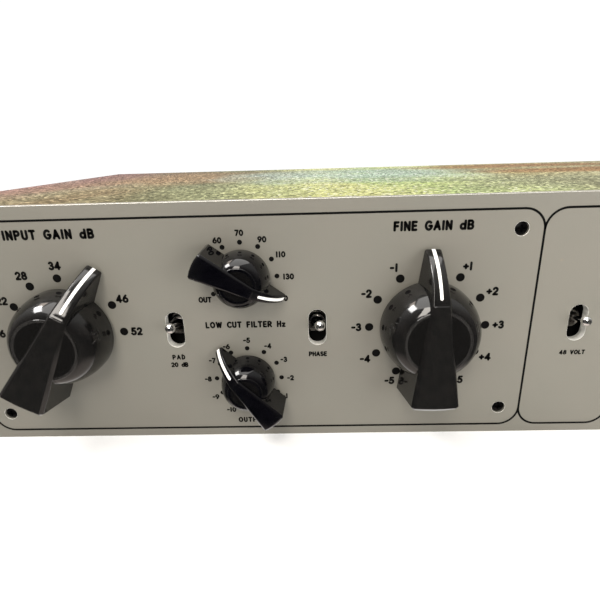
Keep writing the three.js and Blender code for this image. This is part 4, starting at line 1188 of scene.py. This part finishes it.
def input_socket():
    work, centre, screws = connector_shell("input_socket", 9.8 * MM)
    piece = add_piece("input_socket_shell", work, "connector_nickel", ROOT,
                      ("input_socket",))
    low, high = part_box("input_latch")
    pocket = bmesh.new()
    block(pocket, (low.x - 0.25 * MM, low.y - 0.3 * MM, low.z - 1.45 * MM),
          (high.x + 0.25 * MM, high.y + 2 * MM, high.z + 0.25 * MM))
    cut_with(piece, pocket)
    places = contact_places("input_socket", centre)
    outlines = [circle(centre.x, centre.z, 7.5 * MM, 56)] + [circle(*place, 1.4 * MM, 24) for place in places]
    work = plate_mesh(outlines, centre.y - 11 * MM, centre.y - 0.1 * MM, 0.25 * MM)
    for profile in (mm((7.5, 10.9), (7.5, 14.6), (0, 14.6)), mm((0, 10.95), (7.4, 10.95))):
        turned(work, profile, centre, segments=56)
    add_piece("input_socket_insert", work, "insulator", ROOT)
    work = bmesh.new()
    contact = mm((0.85, 9), (0.85, 1.2), (1.05, 0.9), (1.3, 0.9), (1.3, 9), (0.85, 9))
    for x, z in places:
        turned(work, contact, Vector((x, centre.y, z)), segments=20)
    add_piece("input_socket_contacts", work, "brass", ROOT, flat_area=1.0)
    flange_screws("input_socket", screws, centre.y)
    input_latch(low, high)


def input_latch(low, high):
    """The release tab, with four ridges for the thumb."""
    work = bmesh.new()
    block(work, low, high, 0.3 * MM)
    for ridge in range(4):
        z = low.z + (0.7 + 0.85 * ridge) * MM
        start = (low.x + 0.8 * MM, high.y - 0.15 * MM, z)
        end = (high.x - 0.8 * MM, high.y + 0.3 * MM, z + 0.4 * MM)
        block(work, start, end, 0.12 * MM)
    add_piece("input_latch_tab", work, "connector_nickel", "latch", ("input_latch",))


def output_plug():
    work, centre, screws = connector_shell("output_plug", 9.5 * MM)
    add_piece("output_plug_shell", work, "connector_nickel", ROOT, ("output_plug",))
    work = turned(bmesh.new(), mm((0, 12.6), (9.45, 12.6), (9.45, 14.8), (0, 14.8)), centre, segments=56)
    add_piece("output_plug_insert", work, "insulator", ROOT)
    work = bmesh.new()
    pin = mm((0, 2.0), (0.5, 2.05), (0.95, 2.4), (1.18, 3.1), (1.18, 14), (0, 14))
    for x, z in contact_places("output_plug", centre):
        turned(work, pin, Vector((x, centre.y, z)), segments=28)
    block(work, (centre.x - 0.6 * MM, centre.y - 14 * MM, centre.z - 9.3 * MM),
          (centre.x + 0.6 * MM, centre.y - 1.2 * MM, centre.z - 8.2 * MM), 0.15 * MM)
    add_piece("output_plug_pins", work, "brass", ROOT, flat_area=1.0)
    flange_screws("output_plug", screws, centre.y)


def flange_screws(node, places, face):
    for number, (x, z) in enumerate(places, 1):
        origin = Vector((x, face - 0.05 * MM, z))
        pan_screw(f"{node}_screw_{number}", origin, BACKWARD, 2.5 * MM, "screw_black")


def mains_inlet():
    low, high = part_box("mains_inlet")
    x, z, face = (low.x + high.x) / 2, (low.z + high.z) / 2, high.y
    screws = [(x - 20 * MM, z), (x + 20 * MM, z)]
    flange = rounded_rectangle(x, z, high.x - low.x, high.z - low.z, 6 * MM, 10)
    walls = rounded_rectangle(x, z, 28 * MM, 20 * MM, 2.4 * MM, 6)
    cavity = rounded_rectangle(x, z, 24.4 * MM, 16.4 * MM, 3 * MM, 8)
    holes = [circle(*place, 1.7 * MM, 24) for place in screws]
    work = plate_mesh([flange, cavity, *holes], face - 2.5 * MM, face, 0.4 * MM)
    housing = plate_mesh([walls, cavity], face - 15 * MM, face - 2.4 * MM, 0.1 * MM)
    back = plate_mesh([walls], low.y, face - 14.9 * MM, 0.3 * MM)
    join(work, housing, back)
    add_piece("mains_inlet_body", work, "black_moulding", ROOT, ("mains_inlet",))
    work = bmesh.new()
    for across, rise in ((-7, -2), (7, -2), (0, 2)):
        block(work, (x + (across - 1) * MM, face - 15.2 * MM, z + (rise - 2) * MM),
              (x + (across + 1) * MM, face - 2 * MM, z + (rise + 2) * MM), 0.35 * MM, 3)
    add_piece("mains_inlet_blades", work, "connector_nickel", ROOT)
    flange_screws("mains_inlet", screws, face)


def fuse():
    fuse_holder()
    fuse_cap()


def fuse_holder():
    low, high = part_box("fuse_holder")
    ring, depth = (high.x - low.x) / 2, high.y - low.y
    profile = mm((6.35, 6), (6.35, 0.2), (6.6, 0))
    profile += [(ring - 0.5 * MM, 0), (ring, 0.5 * MM), (ring, 1.6 * MM)]
    profile += [(6.0 * MM, 1.6 * MM), (6.0 * MM, depth), (0, depth)]
    work = turned(bmesh.new(), profile, Vector(((low.x + high.x) / 2, high.y, (low.z + high.z) / 2)))
    add_piece("fuse_holder_body", work, "black_moulding", ROOT, ("fuse_holder",))


def fuse_cap():
    """A fluted cap with a coin slot, and the stub that carries the fuse."""
    low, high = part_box("fuse_holder")
    x, z, face = (low.x + high.x) / 2, (low.z + high.z) / 2, high.y
    low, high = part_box("fuse_cap")
    flutes, groove = 24, (0.0, 0.1, 0.32, 0.1)
    outline = []
    for step in range(flutes * len(groove)):
        angle = math.tau * step / (flutes * len(groove))
        grip = (high.x - low.x) / 2 - groove[step % len(groove)] * MM
        outline.append((x + grip * math.cos(angle), z + grip * math.sin(angle)))
    work = plate_mesh([outline], face + 0.2 * MM, high.y, 0.35 * MM)
    stub, start, end = 3.9 * MM, high.y - face - 0.3 * MM, high.y - low.y
    turned(work, [(0, start), (stub, start), (stub, end), (0, end)], Vector((x, high.y, z)), segments=32)
    piece = add_piece("fuse_cap_fluted", work, "black_moulding", "fuse_cap", ("fuse_cap",))
    slot = bmesh.new()
    block(slot, (x - 4.5 * MM, high.y - 1.2 * MM, z - 0.6 * MM), (x + 4.5 * MM, high.y + MM, z + 0.6 * MM))
    cut_with(piece, slot)


# ---------------------------------------------------------------- control bushings


def control_nuts():
    """A washer and a hexagon nut clamp each rotary control to the sub-panel."""
    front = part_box("sub_panel")[0].y
    for name in DIALS:
        place = DIAL_PLACE[name]
        nut = [hexagon(place, 7.2 * MM, 0.2), circle(place.x, place.z, 4.85 * MM)]
        washer = [circle(place.x, place.z, 7.6 * MM), circle(place.x, place.z, 4.9 * MM)]
        work = plate_mesh(nut, front - 2.6 * MM, front - 0.6 * MM, 0.3 * MM)
        add_piece(f"{name}_nut", work, "zinc_steel", ROOT)
        work = plate_mesh(washer, front - 0.58 * MM, front - 0.02 * MM, 0.12 * MM)
        add_piece(f"{name}_washer", work, "zinc_steel", ROOT)


# ---------------------------------------------------------------- camera, light and floor

CAMERA_PLACE = Vector((-65.03 * MM, FACE - 144.98 * MM, 103.57 * MM))
CAMERA_PITCH = math.radians(18.876)
CAMERA_YAW = math.radians(1.589)
CAMERA_ROLL = math.radians(-1.673)
LENS = 26.78
SENSOR = 36.0


def camera():
    data = bpy.data.cameras.new("camera")
    data.lens = LENS
    data.sensor_width = SENSOR
    data.clip_start = 0.01
    data.clip_end = 20
    holder = placed("camera", data)
    level = Matrix(((1, 0, 0), (0, 0, -1), (0, 1, 0)))
    turn = (Matrix.Rotation(CAMERA_ROLL, 3, "Z") @ Matrix.Rotation(CAMERA_PITCH, 3, "X")
            @ Matrix.Rotation(CAMERA_YAW, 3, "Y") @ level)
    right, down, ahead = turn
    axes = Matrix((right, -down, -ahead)).transposed()
    holder.matrix_world = Matrix.Translation(CAMERA_PLACE) @ axes.to_4x4()
    bpy.context.scene.camera = holder


def far(x, y, z):
    """A place this far from the unit's middle, in metres."""
    return Vector((x, y, z)) + Vector((0, FACE, 0.05))


WALLS = (  # the room's brightness, from the floor in front to the ceiling behind
    (0.0, (0.13, 0.128, 0.11)), (0.14, (0.09, 0.088, 0.078)), (0.22, (0.07, 0.068, 0.06)),
    (0.34, (0.05, 0.048, 0.045)), (0.46, (0.14, 0.13, 0.12)), (0.58, (0.30, 0.28, 0.26)),
    (0.74, (0.66, 0.65, 0.62)), (1.0, (0.80, 0.79, 0.77)),
)


def room_light():
    """White for the camera. For the unit, a room dim in front, with a dark figure and a pale table."""
    world = bpy.data.worlds.new("studio")
    world.use_nodes = True
    room = Nodes(world.node_tree)
    way = room.axes(room.add("TexCoord").outputs["Generated"])
    height = room.math("ADD", way["Z"], room.math("MULTIPLY", way["Y"], 0.8))
    walls = room.ramp(room.scale_to(height, 0, 1, -1.3, 1.3), *WALLS)
    aside = room.math("ABSOLUTE", room.math("ADD", way["X"], 0.12))
    beside = room.scale_to(aside, 0, 1, 0.10, 0.34, smooth=True)
    above = room.scale_to(height, 0, 1, -0.15, 0.25, smooth=True)
    figure = room.mix(room.math("MAXIMUM", beside, above), (0.012, 0.012, 0.02), walls)
    under = room.scale_to(way["Z"], 0, 1, -0.6, -0.88, smooth=True)
    table = room.mix(room.scale_to(way["Y"], 0, 1, 0.1, 0.45), (0.85, 0.74, 0.66), (2.0, 1.95, 1.9))
    nodes = world.node_tree.nodes
    room.plug(nodes["Background"].inputs["Color"], room.mix(under, figure, table))
    page = room.add("Background", Color=(1, 1, 1, 1), Strength=1.05)
    choice = room.add("MixShader", Fac=room.add("LightPath").outputs["Is Camera Ray"])
    room.plug(choice.inputs[1], nodes["Background"].outputs[0])
    room.plug(choice.inputs[2], page.outputs[0])
    room.plug(nodes["World Output"].inputs["Surface"], choice.outputs[0])
    bpy.context.scene.world = world


LAMPS = (  # name, place and target from the unit's middle, width and height in metres, watts, colour
    ("overhead", (-0.15, 0.1, 1.6), (0, 0, 0), 2.1, 1.2, 24, (1.0, 0.975, 0.94)),
    ("left_window", (-1.01, -0.1, 1.23), (0, 0, 0), 0.64, 0.38, 16.0, (1.0, 0.99, 0.97)),
    ("front_window", (-0.29, -1.08, 0.95), (0, 0, 0), 0.46, 1.0, 17, (1.0, 0.94, 0.86)),
    ("ceiling_strip", (-1.05, 0.5, 1.6), (0, 0, 0), 1.7, 0.36, 10, (1.0, 0.86, 0.74)),
    ("rear_wall", (-0.72, 0.95, 0.95), (0, 0, 0), 0.75, 0.45, 4.5, (1.0, 0.84, 0.72)),
    ("right_fill", (0.40, -0.44, 0.10), (0.1, 0, 0), 0.34, 0.34, 2.5, (1.0, 0.99, 0.96)),
)


def lamps():
    """Area lamps. The fill is kept out of reflections."""
    for name, place, target, width, height, watts, colour in LAMPS:
        data = bpy.data.lights.new(name, "AREA")
        data.shape = "RECTANGLE"
        data.size = width
        data.size_y = height
        data.energy = watts
        data.color = colour
        lamp = placed(name, data)
        lamp.location = far(*place)
        lamp.rotation_euler = (far(*target) - far(*place)).to_track_quat("-Z", "Y").to_euler()
        lamp.visible_glossy = name != "right_fill"


def studio_floor():
    look = Look("floor", Roughness=0.75, Emission_Color=(1, 1, 1, 1), Emission_Strength=0.4)
    look.finish(look.mix(look.noise(14.0, 3.0), grey(0.60), grey(0.63)))
    mesh = bpy.data.meshes.new("floor")
    reach = 0.78
    corners = [(-reach, -reach, 0), (reach, -reach, 0), (reach, reach, 0), (-reach, reach, 0)]
    mesh.from_pydata(corners, [], [(0, 1, 2, 3)])
    mesh.materials.append(look.material)
    floor = placed("floor", mesh)
    floor.visible_glossy = False


def studio():
    room_light()
    lamps()
    studio_floor()
    bpy.context.scene.view_settings.view_transform = "Standard"


# ---------------------------------------------------------------- carried-over CAD nodes

LOOK_OF = {entry["node"]: entry["material_slot"] for entry in frame["record"]["subparts"]}
LOOK_OF["sub_panel"] = "matt_black"  # blacked as painted shade, so that the slots in front of it look dark


def dress_cad_nodes():
    for name, node in frame["nodes"].items():
        material = MATERIALS[LOOK_OF[name]]
        node.data.materials.clear()
        node.data.materials.append(material)


camera()
studio()
dress_cad_nodes()
front_panel()
section_borders()
dial_scales()
legends()
panel_screws()
knobs()
toggle_switches()
pilot_lamp()
cover()
input_socket()
output_plug()
mains_inlet()
fuse()
control_nuts()
